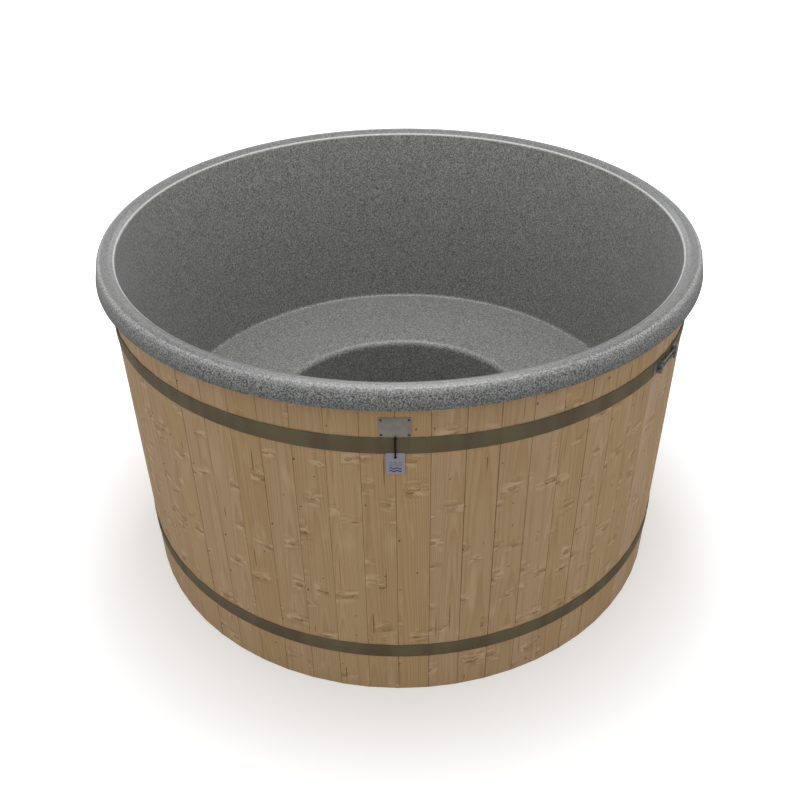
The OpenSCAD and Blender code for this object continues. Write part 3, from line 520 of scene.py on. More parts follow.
def spots(salt, across, along, likely, long, tall):
    """Scattered marks on the boards: the distance from the nearest, 1 at its edge, and its luck.
    across and along are how many cells fit in a metre, likely is the share that has a mark, and
    long and tall are the least and the most that a mark reaches to each side."""
    scaled = stretched(board_place, across, 1.0, along)
    salted = add(wood, "ShaderNodeVectorMath", {0: scaled, 1: (salt, salt * 1.7, salt * 2.3)})[0]
    cells = add(wood, "ShaderNodeTexVoronoi", {"Vector": salted, "Scale": 1.0, "Randomness": 0.8})
    off_xyz = apart(add(wood, "ShaderNodeVectorMath", {0: salted, 1: cells["Position"]},
                        operation="SUBTRACT")[0])
    luck = add(wood, "ShaderNodeSeparateColor", {0: cells["Color"]})
    half_long = fade(luck[1], 0.0, 1.0, *long)
    half_tall = fade(luck[2], 0.0, 1.0, *tall)
    u_metres, z_metres = off_xyz["X"] / across, off_xyz["Z"] / along
    du = u_metres / half_long
    dz = (z_metres + u_metres * (luck[0] - 0.5)) / half_tall
    away = sums("SQRT", du * du + dz * dz)
    absent = sums("GREATER_THAN", luck[0], likely) * 100.0
    return (away + absent, dz, luck)


knot_away, knot_side, knot_luck = spots(3.1, across=16.0, along=6.5, likely=0.66,
                                        long=(0.006, 0.019), tall=(0.0035, 0.009))
slit_away = spots(8.7, across=30.0, along=6.0, likely=0.14, long=(0.0008, 0.0017),
                  tall=(0.012, 0.055))[0]
pin_away = spots(5.9, across=24.0, along=9.0, likely=0.22, long=(0.0016, 0.0035),
                 tall=(0.0016, 0.004))[0]

# Growth rings: the board is a slice of a log whose middle lies behind it, and drifts with height.
drift = noise(board_place, (3.0, 1.0, 1.3))
pith_deep = fade(luck_a, 0.0, 1.0, 0.012, 0.075) + wood_xyz["Z"] * 0.014 + drift * 0.02
pith_side = board_u - fade(luck_b, 0.0, 1.0, -0.045, 0.045)
ring_at = sums("SQRT", pith_side * pith_side + pith_deep * pith_deep)
ring_at = ring_at + fade(knot_away, 0.5, 3.2, 1.0, 0.0) * 0.006
ring_wide = fade(luck_c, 0.0, 1.0, 0.0026, 0.0048)
ring_wave = sums("FRACT", ring_at / ring_wide)
late_wood = fade(ring_wave, 0.35, 0.93) * fade(ring_wave, 0.94, 1.0, 1.0, 0.0)
fibres = noise(board_place, (900.0, 1.0, 14.0))
streaks = noise(board_place, (110.0, 1.0, 2.2), 3.0)
patches = noise(board_place, (22.0, 1.0, 6.0))

SPRUCE_HONEY = (180, 149, 105)
SPRUCE_ROSE = (187, 157, 128)
SPRUCE_DARK = (166, 134, 93)
SPRUCE_PALE = (196, 171, 136)
# Round a knot the grain swirls in pale and dark ripples, and the pale ones also carry a painted
# highlight of the knot's raised relief. The knot is brown, with a dark outline that is kept to its
# lower side as painted shade of that relief.
swirl = noise(board_place, (26.0, 1.0, 85.0), distortion=0.6)
ragged = knot_away + (swirl - 0.5) * 1.6
near_knot = fade(knot_away, 1.2, 5.5, 1.0, 0.0)
knot_heart = fade(ragged, 0.35, 1.05, knot_luck[0] * 0.8, 0.0)
# Painted shade: the knot's dark outline is kept to its lower side, as the shade of its relief.
knot_outline_and_shade = within(ragged, 0.9, 0.14, 0.12) * fade(knot_side, -0.5, 0.3, 1.0, 0.0)
# Some bevels have gathered dirt, and others are still clean.
board_edge = fade(sums("ABSOLUTE", board_u), BOARD_WIDE / 2 - 0.0020, BOARD_WIDE / 2 - 0.0006)
wood_colour = layered(
    mix(luck_b, SPRUCE_HONEY, SPRUCE_ROSE),
    (fade(luck_c, 0.0, 1.0, 0.0, 0.35), SPRUCE_DARK),
    (fade(streaks, 0.45, 0.75, 0.0, 0.6), SPRUCE_DARK),
    (late_wood * 0.42, (158, 124, 82)),
    (fade(fibres, 0.55, 0.8, 0.0, 0.35), SPRUCE_PALE),
    (fade(patches, 0.58, 0.72, 0.0, 0.4), SPRUCE_PALE),
    # Pale ripples round a knot: grain swirl, and partly a painted highlight of the knot's relief.
    (fade(swirl, 0.50, 0.62) * near_knot * 0.55, (206, 181, 148)),
    (fade(swirl, 0.38, 0.50, 1.0, 0.0) * near_knot * 0.45, (150, 114, 74)),
    (knot_heart, (150, 108, 68)),
    # The knot's dark outline, with painted shade on its lower side.
    (knot_outline_and_shade * 0.75, (96, 64, 38)),
    (fade(pin_away, 0.7, 1.1, 0.85, 0.0), (88, 58, 36)),
    (fade(slit_away, 0.7, 1.1, 0.8, 0.0), (104, 70, 42)),
    (board_edge * fade(luck_a, 0.35, 1.0, 0.0, 0.6), (120, 88, 57)))
feed(wood_shader, Base_Color=wood_colour, Roughness=fade(streaks, 0.3, 0.7, 0.55, 0.72))
wood_height = fibres * 0.5 + late_wood * 0.5 + fade(knot_away, 0.6, 1.8, 1.6, 0.0)
bump(wood_shader, wood_height, 0.0004)

stave_ring = node_modifier("ring_of_staves", one_stave, ring_of_staves, Count=STAVES,
                           Setback=STAVE_SETBACK, Seed=11, Wood=spruce)


def bar(start, end, radius, sides=64):
    """A closed round bar between two points."""
    axis = (end - start).normalized()
    across = axis.orthogonal().normalized()
    other = axis.cross(across)
    vertices = []
    for centre in (start, end):
        for side in range(sides):
            angle = 2 * pi * side / sides
            vertices.append(centre + radius * (cos(angle) * across + sin(angle) * other))
    faces = [tuple(reversed(range(sides))), tuple(range(sides, 2 * sides))]
    faces += ring_faces(0, sides, sides)
    return mesh_of("bar", vertices, faces, smooth=False)


def cut(mesh, tools, operation="DIFFERENCE"):
    """A mesh with other meshes cut out of it or joined to it, and its edges left sharp."""
    carrier = put("carrier", mesh)
    helpers = [put("tool", tool) for tool in tools]
    for helper in helpers:
        modifier = carrier.modifiers.new("cut", "BOOLEAN")
        modifier.operation = operation
        modifier.solver = "EXACT"
        modifier.object = helper
    depsgraph = bpy.context.evaluated_depsgraph_get()
    result = bpy.data.meshes.new_from_object(carrier.evaluated_get(depsgraph))
    for used in helpers + [carrier]:
        bpy.data.objects.remove(used)
    return result


# Openings for the two heater pipes and for the drain pipe, cut from inside the staves to outside.
CUT_FROM, CUT_TO = 0.78, 0.82
SPIGOT_HOLE = 0.0395
DRAIN_HOLE = 0.0215
HEATER_TURN = radians(11.25)
DRAIN_TURN = radians(92.8125)
HEATER_HEIGHTS = (0.230, 0.460)
DRAIN_HEIGHT = 0.036


def outward(turn, radius, height):
    return Vector((radius * cos(turn), radius * sin(turn), height))


def level_bar(turn, near, far, height, radius, sides=64):
    """A level bar that points away from the tub's axis."""
    return bar(outward(turn, near, height), outward(turn, far, height), radius, sides)


stave_holes = [level_bar(HEATER_TURN, CUT_FROM, CUT_TO, height, SPIGOT_HOLE)
               for height in HEATER_HEIGHTS]
stave_holes.append(level_bar(DRAIN_TURN, CUT_FROM, CUT_TO, DRAIN_HEIGHT, DRAIN_HOLE))
new_piece("staves", cut(stave_ring, stave_holes), "tub", spruce, "spruce",
          *["staves_%02d" % number for number in range(1, 17)])

# ---- the bath ----
# One rotation-moulded polyethylene shell, 6 mm thick, in a granite-look grey. Its rim rolls over
# the staves' tops, and it steps in to a bench and down into a round footwell.
LINER_THICK = 0.006
RIM_RADIUS = 0.835
RIM_TOP_RADIUS = RIM_RADIUS - 0.010
RIM_LOW = 0.951
TUB_HEIGHT = 1.0
FLOOR_Z = 0.0938
SEAT_OUTER_Z = 0.362
SEAT_INNER_Z = 0.354
WELL_RADIUS = 0.416
WELL_LOW_RADIUS = 0.404
RIM_SLOPE_WIDE = 0.0237
WALL_PLAY = 0.002
WALL_TAPER = 0.028
crest_radius = RIM_TOP_RADIUS - RIM_SLOPE_WIDE
slope_out, slope_in = radians(15), radians(32)
CROWN = 0.025
half_in, half_out = slope_in / 2, slope_out / 2
crest_rise = CROWN * (cos(half_in - half_out) / cos(half_in + half_out) - 1)
crest_z = TUB_HEIGHT + crest_rise
mouth_radius = STAVE_INNER - WALL_PLAY - LINER_THICK
seat_radius = mouth_radius - WALL_TAPER
# The section's corners: radius, height, rounding.
BATH_LINE = [
    (RIM_RADIUS, RIM_LOW, 0),
    (RIM_TOP_RADIUS, crest_z - RIM_SLOPE_WIDE * tan(slope_out), 0.0175),
    (crest_radius, crest_z, CROWN),
    (mouth_radius, crest_z - (crest_radius - mouth_radius) * tan(slope_in), 0.009),
    (seat_radius, SEAT_OUTER_Z, 0.012),
    (WELL_RADIUS, SEAT_INNER_Z, 0.022),
    (WELL_LOW_RADIUS, FLOOR_Z, 0.030),
    (0.0, FLOOR_Z, 0)]


def rounded_line(line, off):
    """The section's line with its corners rounded, moved to its left by off."""
    points = [Vector(corner[:2]) for corner in line]
    ways = [(points[i + 1] - points[i]).normalized() for i in range(len(points) - 1)]

    def left(way):
        return Vector((-way.y, way.x))

    result = [points[0] + left(ways[0]) * off]
    for i in range(1, len(points) - 1):
        before, after = ways[i - 1], ways[i]
        turn = atan2(before.x * after.y - before.y * after.x, before.dot(after))
        side = copysign(1, turn)
        radius = line[i][2]
        start = points[i] - before * radius * tan(abs(turn) / 2)
        middle = start + left(before) * side * radius
        steps = max(3, ceil(abs(turn) / radians(6)))
        for step in range(steps + 1):
            result.append(middle + Matrix.Rotation(turn * step / steps, 2)
                          @ ((start - middle).normalized() * (radius - side * off)))
    result.append(points[-1] + left(ways[-1]) * off)
    return result


def revolve(name, section, around):
    """A closed section turned about Z. Points on the axis are shared by the whole turn."""
    vertices, faces, rings = [], [], []
    for point in section:
        if point.x < 1e-6:
            rings.append([len(vertices)] * around)
            vertices.append((0, 0, point.y))
        else:
            rings.append(list(range(len(vertices), len(vertices) + around)))
            for step in range(around):
                angle = 2 * pi * step / around
                vertices.append((point.x * cos(angle), point.x * sin(angle), point.y))
    for i in range(len(section)):
        a, b = rings[i], rings[(i + 1) % len(section)]
        if a[0] == a[1] and b[0] == b[1]:
            continue
        for step in range(around):
            following = (step + 1) % around
            corners = [a[step], a[following], b[following], b[step]]
            faces.append(tuple(dict.fromkeys(corners)))
    return mesh_of(name, vertices, faces)


bath_section = rounded_line(BATH_LINE, 0) + list(reversed(rounded_line(BATH_LINE, LINER_THICK)))
bath_mesh = revolve("bath", bath_section, 288)

granite, stone_place, stone_shader = surface("granite_plastic", (106, 106, 103), 0.34)
coarse = noise(stone_place, 210.0, roughness=0.7)
fine = noise(stone_place, 520.0, 1.0)
flecks = add(stone_place.tree, "ShaderNodeTexVoronoi", {"Vector": stone_place, "Scale": 330.0})
fleck_luck = add(stone_place.tree, "ShaderNodeSeparateColor", {0: flecks["Color"]})[0]
GRANITE_MID = (110, 110, 107)
GRANITE_DARK = (62, 63, 62)
GRANITE_LIGHT = (168, 168, 164)
# The rim's top is painted darker, as painted shade that tones it down under the lamp above, and it
# is left slick. A pale line painted on its inner edge and another on its outer bend are painted
# highlights. Its outer face has a coarser, harder fleck, and painted shade darkens it towards its
# lower edge.
stone_xyz = apart(stone_place)
stone_out = sums("SQRT", stone_xyz["X"] * stone_xyz["X"] + stone_xyz["Y"] * stone_xyz["Y"])
rim_high = fade(stone_xyz["Z"], 0.982, 0.986)
rim_top = rim_high * fade(stone_out, 0.782, 0.785)
rim_face = fade(stone_out, 0.812, 0.816) * fade(rim_high, 0, 1, 1, 0)
# Painted highlight: a pale line along the rim's inner edge.
rim_edge_highlight = within(stone_out, 0.7815, 0.0018, 0.0012)
# Painted highlight: a pale line along the rim's outer bend.
rim_bend_highlight = fade(stone_out, 0.813, 0.819) * rim_high
rim_grit = noise(stone_place, 270.0, roughness=0.7)
rim_fleck = fade(rim_grit, 0.38, 0.62)
# Painted shade: the rim's top is darkened to this flecked dark grey.
rim_top_shade_tone = mix(rim_fleck, (34, 36, 37), (98, 100, 100))
# The face's coarse fleck, with painted shade darker towards its lower edge.
face_fleck_and_shade = layered(mix(rim_fleck, (44, 46, 47), (170, 172, 170)),
                    (fade(stone_xyz["Z"], 0.956, 0.984, 0.5, 0.0), (54, 56, 57)))
# The pale tone of the painted highlight on the rim's outer bend.
bend_highlight_tone = mix(rim_fleck, (112, 113, 112), (196, 197, 195))
stone_colour = layered(
    mix(0.55, GRANITE_MID, mix(fade(coarse, 0.34, 0.66), GRANITE_DARK, GRANITE_LIGHT)),
    (fade(fleck_luck, 0.72, 0.8, 0.0, 0.55), GRANITE_DARK),
    (fade(fleck_luck, 0.0, 0.22, 0.5, 0.0), GRANITE_LIGHT),
    (fade(fine, 0.35, 0.7, 0.25, 0.0), GRANITE_DARK),
    # Painted shade on the rim's top and low on its face, and painted highlights on its bend and
    # inner edge.
    (rim_top * fade(stone_out, 0.798, 0.805, 0.76, 0.62), rim_top_shade_tone),
    (rim_face * 0.8, face_fleck_and_shade),
    (rim_bend_highlight * 0.45, bend_highlight_tone),
    (rim_edge_highlight * 0.32, (212, 212, 208)))
feed(stone_shader, Base_Color=stone_colour,
     Roughness=fade(coarse, 0.3, 0.7, 0.38, 0.52) - rim_top * 0.10)
bump(stone_shader, noise(stone_place, 160.0, 3.0), 0.0002)

PAD_RADIUS = 0.060
PAD_THICK = 0.016
SPIGOT_BORE = 0.0383
DRAIN_BORE = 0.0263


def pad_face(wall_radius):
    """How far out a flat pad's face lies, where the wall's radius is given at its lower edge."""
    return sqrt(wall_radius ** 2 - PAD_RADIUS ** 2) - 0.001


well_share = (SEAT_INNER_Z - HEATER_HEIGHTS[0] + PAD_RADIUS) / (SEAT_INNER_Z - FLOOR_Z)
riser_low = WELL_RADIUS - (WELL_RADIUS - WELL_LOW_RADIUS) * well_share
mouth_z = BATH_LINE[3][1]
wall_share = (HEATER_HEIGHTS[1] - PAD_RADIUS - SEAT_OUTER_Z) / (mouth_z - SEAT_OUTER_Z)
wall_low = seat_radius + (mouth_radius - seat_radius) * wall_share
pad_faces = [pad_face(riser_low), pad_face(wall_low)]
DRAIN_OUT = 0.250
DISH_RADIUS = 0.048
DISH_Z = FLOOR_Z - 0.004
drain_middle = outward(DRAIN_TURN, DRAIN_OUT, 0)


def at_drain(low, high, radius):
    """An upright bar at the drain."""
    return bar(drain_middle + Vector((0, 0, low)), drain_middle + Vector((0, 0, high)), radius, 96)


pads = [level_bar(HEATER_TURN, face, face + PAD_THICK, height, PAD_RADIUS, 96)
        for face, height in zip(pad_faces, HEATER_HEIGHTS)]
pads.append(at_drain(DISH_Z - LINER_THICK, FLOOR_Z, DISH_RADIUS + LINER_THICK))
bath_mesh = cut(bath_mesh, pads, "UNION")
bores = [level_bar(HEATER_TURN, face - 0.005, face + 0.03, height, SPIGOT_BORE, 96)
         for face, height in zip(pad_faces, HEATER_HEIGHTS)]
bores.append(at_drain(DISH_Z, FLOOR_Z + 0.002, DISH_RADIUS))
bores.append(at_drain(DISH_Z - 0.01, FLOOR_Z, DRAIN_BORE))
bath_mesh = cut(bath_mesh, bores)
smooth_but(bath_mesh, 35)
new_piece("bath", bath_mesh, "tub", granite, "granite_plastic", "liner")

# ---- the bands ----
# Two flat stainless steel straps, brushed along their length and dulled by the weather. Each is
# one open ring, drawn tight where its ends meet.
BAND_WIDE = 0.044
BAND_THICK = 0.0015
BAND_INNER = hypot(STAVE_FACE, stave_half(STAVE_FACE) - STAVE_BEVEL) + 0.0001
BAND_GAP = 0.008
CLOSURE_TURNS = {"upper": radians(-34.4), "lower": radians(145)}

strap_steel, strap_at, strap_shader = surface("strap_steel", (108, 97, 74), 0.6, Metallic=0.15,
                                              Specular_IOR_Level=0.25)
strap_xyz = apart(strap_at)
strap_angle = sums("ARCTAN2", strap_xyz["Y"], strap_xyz["X"])
strap_place = vector(X=strap_angle * CLAD_RADIUS, Z=strap_xyz["Z"])
brush = noise(strap_place, (6.0, 1.0, 1600.0), 3.0)
tarnish = noise(strap_place, (17.0, 1.0, 3.0), 3.0)
strap_colour = layered((108, 99, 75), (fade(tarnish, 0.35, 0.65), (96, 84, 63)),
                       (fade(brush, 0.3, 0.7, 0.25, 0.0), (84, 74, 54)))
feed(strap_shader, Base_Color=strap_colour, Roughness=fade(brush, 0.3, 0.7, 0.52, 0.7))
bump(strap_shader, brush, 0.00008)


def strap_round(tree, given):
    """Sweeps a rounded flat bar along an open ring."""
    gap = given["Gap"] / given["Radius"]
    arc = add(tree, "GeometryNodeCurveArc", {
        "Resolution": given["Steps"], "Radius": given["Radius"], "Start Angle": gap / 2.0,
        "Sweep Angle": 2 * pi - gap}, mode="RADIUS")[0]
    bar = add(tree, "GeometryNodeCurvePrimitiveQuadrilateral", {
        "Width": given["Thickness"], "Height": given["Width"]})[0]
    eased = add(tree, "GeometryNodeFilletCurve", {
        "Curve": bar, "Radius": given["Rounding"], "Count": 3}, mode="POLY")[0]
    solid = add(tree, "GeometryNodeCurveToMesh", {
        "Curve": arc, "Profile Curve": eased, "Fill Caps": True})[0]
    return made_of(stood(solid, given["Closure"], given["Height"]), given["Steel"])


for which, turn in CLOSURE_TURNS.items():
    band_low, band_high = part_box(which + "_band")
    band_mesh = node_modifier(
        which + "_strap", bpy.data.meshes.new("empty"), strap_round,
        Radius=BAND_INNER + BAND_THICK / 2, Gap=BAND_GAP, Thickness=BAND_THICK, Width=BAND_WIDE,
        Rounding=0.0004, Closure=turn, Height=(band_low[2] + band_high[2]) / 2, Steps=360,
        Steel=strap_steel)
    smooth_but(band_mesh, 50)
    new_piece(which + "_strap", band_mesh, "tub", strap_steel, "band_steel", which + "_band")

# ---- the closures ----
# Where a band's ends meet, a bent steel bracket is spot-welded to each, and two long bolts with
# hexagon heads and nuts draw the brackets together. All is zinc-plated, and gone a dull grey.
BRACKET_SPAN = 0.084
BRACKET_THICK = 0.004
BRACKET_FOOT = 0.022
FOOT_THICK = 0.0025
BRACKET_HIGH = 0.034
BRACKET_EDGE = 0.0055
BOLT_RADIUS = 0.003
BOLT_SPACING = 0.016
BOLT_END = 0.007
HEX_APOTHEM = 0.00575 * cos(radians(30))
HEX_THICK = 0.005
THREAD_LONG = 0.042
band_outer = BAND_INNER + BAND_THICK
bracket_out = BRACKET_SPAN / 2 + BRACKET_THICK
foot_outer = band_outer + FOOT_THICK
bolt_radius_out = sqrt(foot_outer ** 2 - bracket_out ** 2) + HEX_APOTHEM + 0.0003


def metal(name, colour, other, roughness, metallic, grain):
    """A metal or plastic whose colour wanders between two. Its fine grain has a scale for each
    axis."""
    made, place, shader = surface(name, colour, roughness, Metallic=metallic)
    wander = noise(place, 45.0, 4.0)
    fine = noise(place, grain)
    feed(shader, Base_Color=mix(fade(wander, 0.35, 0.65), colour, other),
         Roughness=fade(fine, 0.3, 0.7, roughness - 0.08, roughness + 0.1))
    bump(shader, fine, 0.00006)
    return made


closure_zinc = metal("closure_zinc", (134, 134, 134), (108, 108, 109), 0.5, 0.4, (500, 500, 500))


def bracket_mesh():
    """A bracket whose leg stands on the side of the band's gap, about the band's middle."""
    inner = BRACKET_SPAN / 2
    end = bracket_out + BRACKET_FOOT
    leg_x = bolt_radius_out + BRACKET_EDGE
    bend, tip = 0.0018, BRACKET_THICK / 2
    points = []
    for step in range(9):
        y = inner + bend + (end - inner - bend) * step / 8
        points.append((sqrt(band_outer ** 2 - y * y), y))
    for step in range(9):
        y = end + (bracket_out - end) * step / 8
        points.append((sqrt(foot_outer ** 2 - y * y), y))
    for step in range(9):
        angle = radians(90 - 180 * step / 8)
        points.append((leg_x - tip * 0.5 + tip * 0.5 * cos(angle),
                       inner + tip + tip * sin(angle)))
    for step in range(4):
        angle = radians(90 * step / 4)
        points.append((points[0][0] + bend * (1 - sin(angle)),
                       inner + bend * (1 - cos(angle))))
    work = bmesh.new()
    rows = [[work.verts.new((x, y, z)) for x, y in points]
            for z in (-BRACKET_HIGH / 2, BRACKET_HIGH / 2)]
    caps = [work.faces.new(row) for row in rows]
    for i in range(len(points)):
        j = (i + 1) % len(points)
        work.faces.new((rows[0][i], rows[0][j], rows[1][j], rows[1][i]))
    rims = list({edge for cap in caps for edge in cap.edges})
    bmesh.ops.bevel(work, geom=rims, offset=0.0004, segments=2, affect="EDGES")
    bmesh.ops.recalc_face_normals(work, faces=work.faces)
    mesh = bpy.data.meshes.new("bracket")
    work.to_mesh(mesh)
    work.free()
    holes = [bar(Vector((bolt_radius_out, inner - 0.002, z)),
                 Vector((bolt_radius_out, bracket_out + 0.002, z)), BOLT_RADIUS + 0.0003, 32)
             for z in (-BOLT_SPACING / 2, BOLT_SPACING / 2)]
    return cut(mesh, holes)


def turned(name, rings, around, hollow=False):
    """A closed body about Z. Each ring is a rule that gives a radius and a height at an angle."""
    vertices, faces = [], []
    for rule in rings:
        for step in range(around):
            angle = 2 * pi * step / around
            radius, height = rule(angle)
            vertices.append((radius * cos(angle), radius * sin(angle), height))
    count = len(rings)
    for ring in range(count if hollow else count - 1):
        faces += ring_faces(ring * around, (ring + 1) % count * around, around)
    if not hollow:
        faces.append(tuple(reversed(range(around))))
        faces.append(tuple((count - 1) * around + step for step in range(around)))
    mesh = mesh_of(name, vertices, faces)
    smooth_but(mesh, 32)
    return mesh


def round_ring(radius, height):
    return lambda angle: (radius, height)


def hex_ring(apothem, height, ease=0.0):
    """A hexagon whose corners a cone takes back by ease for each unit past the flats."""
    def rule(angle):
        radius = apothem / cos((angle + pi / 6) % (pi / 3) - pi / 6)
        return radius, height - ease * max(0.0, radius - apothem * 0.98)
    return rule


def thread(radius, depth, pitch, low, high):
    """Rings of a screw thread from one height to another, four to a turn, with an eased end."""
    def at(height):
        def rule(angle):
            wave = abs(2 * ((height / pitch - angle / (2 * pi)) % 1) - 1)
            ease = min(1.0, max(0.0, (high - height) / pitch))
            return radius - depth * (1 - wave * ease), height
        return rule
    count = max(2, round((high - low) / pitch * 4))
    return [at(low + (high - low) * step / count) for step in range(count + 1)]


nut_low, nut_high = bracket_out, bracket_out + HEX_THICK
bolt = turned("bolt", [round_ring(0.0004, -nut_high), round_ring(HEX_APOTHEM * 0.96, -nut_high),
                       hex_ring(HEX_APOTHEM, -nut_high + 0.0002, -0.5),
                       hex_ring(HEX_APOTHEM, -nut_low - 0.0003),
                       hex_ring(HEX_APOTHEM * 0.97, -nut_low), round_ring(BOLT_RADIUS, -nut_low),
                       round_ring(BOLT_RADIUS, nut_high + BOLT_END - THREAD_LONG),
                       *thread(BOLT_RADIUS, 0.0004, 0.001, nut_high + BOLT_END - THREAD_LONG,
                               nut_high + BOLT_END)], 24)


def hex_nut(name, apothem, bore, low, high, low_ease=0.0002):
    """A hexagon nut about Z, with its corners eased at both ends."""
    return turned(name, [
        round_ring(bore, low), round_ring(apothem * 0.96, low),
        hex_ring(apothem, low + low_ease, -0.5), hex_ring(apothem, high - 0.0002, 0.5),
        round_ring(apothem * 0.96, high), round_ring(bore, high)], 24, hollow=True)


nut = hex_nut("nut", HEX_APOTHEM, BOLT_RADIUS, nut_low, nut_high)


def across_the_gap(tree, given):
    """Sets two fastenings one above the other, lying along a closure on the tub's side."""
    places = add(tree, "GeometryNodeMeshLine", {
        "Count": 2, "Start Location": vector(Z=given["Spacing"] * -0.5),
        "Offset": vector(Z=given["Spacing"])})[0]
    laid = on_points(places, given, (-pi / 2, 0, 0))
    out = add(tree, "GeometryNodeTransform", {
        "Geometry": laid, "Translation": vector(X=given["Out"])})[0]
    return made_of(stood(out, given["Closure"], given["Height"]), given["Steel"])


for which, turn in CLOSURE_TURNS.items():
    band_low, band_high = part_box(which + "_band")
    band_middle = (band_low[2] + band_high[2]) / 2
    pair = bmesh.new()
    for mirrored in (1, -1):
        one = bracket_mesh()
        one.transform(Matrix.Translation((0, 0, band_middle)) @ Matrix.Rotation(turn, 4, "Z")
                      @ Matrix.Diagonal((1, mirrored, 1, 1)))
        pair.from_mesh(one)
    bmesh.ops.recalc_face_normals(pair, faces=pair.faces)
    brackets = bpy.data.meshes.new(which + "_brackets")
    pair.to_mesh(brackets)
    pair.free()
    smooth_but(brackets, 35)
    new_piece(which + "_brackets", brackets, "tub", closure_zinc, "closure_steel",
              which + "_band_brackets")
    for name, one in (("bolts", bolt), ("nuts", nut)):
        laid = node_modifier(which + "_" + name, one, across_the_gap, Spacing=BOLT_SPACING,
                             Out=bolt_radius_out, Closure=turn, Height=band_middle,
                             Steel=closure_zinc)
        new_piece(which + "_" + name, laid, "tub", closure_zinc, "closure_steel",
                  which + "_band_" + name)

# ---- the nameplate ----
# A thin stainless plate, brushed from side to side and left bare. Four small countersunk cross-head
# screws, gone dark, hold it on the staves above the upper band.
PLATE_ACROSS = 0.0305
PLATE_UP = 0.020
PLATE_HEAD = 0.003
PLATE_HEAD_HIGH = 0.0016
plate_low, plate_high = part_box("nameplate")
plate_outer = -plate_low[1]
plate_middle = (plate_low[2] + plate_high[2]) / 2

plate_steel, plate_place, plate_shader = surface("plate_steel", (150, 145, 135), 0.42, Metallic=0.5)
plate_brush = noise(plate_place, (60.0, 60.0, 5200.0))
plate_cloud = noise(plate_place, 70.0, 3.0)
plate_colour = layered(
    (154, 149, 139), (fade(plate_cloud, 0.35, 0.65), (142, 137, 128)),
    (fade(plate_brush, 0.3, 0.7, 0.22, 0.0), (120, 116, 109)))
feed(plate_shader, Base_Color=plate_colour, Roughness=fade(plate_brush, 0.3, 0.7, 0.34, 0.52))
bump(plate_shader, plate_brush, 0.00005)
paint(plate_steel, "nameplate")

screw_dark = metal("screw_dark", (84, 80, 74), (60, 57, 53), 0.42, 0.6, (900, 900, 900))


def screw_mesh(name, head, high, shank, length, around=24):
    """A screw along Z: a threaded shank, and on top a low domed head with a cross recess."""
    rings = [round_ring(shank * 0.35, -length)]
    rings += thread(shank, shank * 0.25, shank * 0.9, -length + 0.001, -0.001)[::2]
    rings += [round_ring(shank, 0.0), round_ring(head * 0.97, 0.0), round_ring(head, high * 0.15)]
    for step in range(1, 6):
        lean = radians(15 * step)
        rings.append(round_ring(head * (1 - 0.9 * (1 - cos(lean))),
                                high * (0.15 + 0.85 * sin(lean) / sin(radians(75)))))
    whole = turned(name, rings, around)
    recess = []
    for long_x, long_y in ((0.62, 0.11), (0.11, 0.62)):
        top, low = high * 1.2, high * 0.25
        corners = [(x * head * long_x * share, y * head * long_y * share, z)
                   for z, share in ((low, 0.55), (top, 1.0))
                   for x, y in ((-1, -1), (1, -1), (1, 1), (-1, 1))]
        recess.append(mesh_of("recess", corners, [
            (0, 1, 2, 3), (4, 5, 6, 7), (0, 1, 5, 4), (1, 2, 6, 5), (2, 3, 7, 6), (3, 0, 4, 7)],
                              smooth=False))
    return cut(whole, recess)


def on_the_plate(tree, given):
    """Sets a screw at each corner of a plate bent round the tub, facing out."""
    corners = add(tree, "GeometryNodeMeshGrid", {
        "Size X": given["Across"] * 2.0, "Size Y": given["Up"] * 2.0, "Vertices X": 2,
        "Vertices Y": 2})[0]
    flat = apart(add(tree, "GeometryNodeInputPosition")[0])
    lean = sums("ARCSINE", flat["X"] / given["Radius"])
    place = vector(X=flat["X"], Y=sums("COSINE", lean) * -given["Radius"],
                   Z=flat["Y"] + given["Height"])
    spread = add(tree, "GeometryNodeSetPosition", {"Geometry": corners, "Position": place})[0]
    return made_of(on_points(spread, given, vector(X=pi / 2, Z=lean)), given["Steel"])


plate_screw = screw_mesh("plate_screw", PLATE_HEAD, PLATE_HEAD_HIGH, shank=0.0015, length=0.015)
plate_screws = node_modifier("plate_screws", plate_screw, on_the_plate, Across=PLATE_ACROSS,
                             Up=PLATE_UP, Radius=plate_outer, Height=plate_middle, Steel=screw_dark)
new_piece("plate_screws", plate_screws, "tub", screw_dark, "screw_steel", "nameplate_screws")

# ---- the base ----
# Five pressure-treated bearers carry a plywood disc on countersunk screws. Boards of pale foam lie
# under the footwell and behind the wall, and a plywood ring on posts holds the bench up.
bearer_green, bearer_place, bearer_shader = surface("treated_timber", (150, 152, 118), 0.75)
bearer_grain = noise(bearer_place, (220.0, 6.0, 220.0), 3.0)
feed(bearer_shader, Base_Color=mix(fade(bearer_grain, 0.35, 0.68), (160, 160, 122), (118, 122, 88)))
bump(bearer_shader, bearer_grain, 0.0006)
paint(bearer_green, "base_bearers")

plywood, ply_place, ply_shader = surface("plywood", (190, 160, 118), 0.7)
ply_grain = noise(ply_place, (260.0, 9.0, 260.0), 3.0)
ply_layer = sums("FRACT", apart(ply_place)["Z"] * 333.0)
feed(ply_shader, Base_Color=layered(
    (198, 168, 126), (fade(ply_grain, 0.35, 0.65), (172, 138, 96)),
    (fade(ply_layer, 0.45, 0.55, 0.0, 0.35), (140, 106, 70))))
bump(ply_shader, ply_grain, 0.0003)
paint(plywood, "base_disc", "seat_ring", "seat_posts")

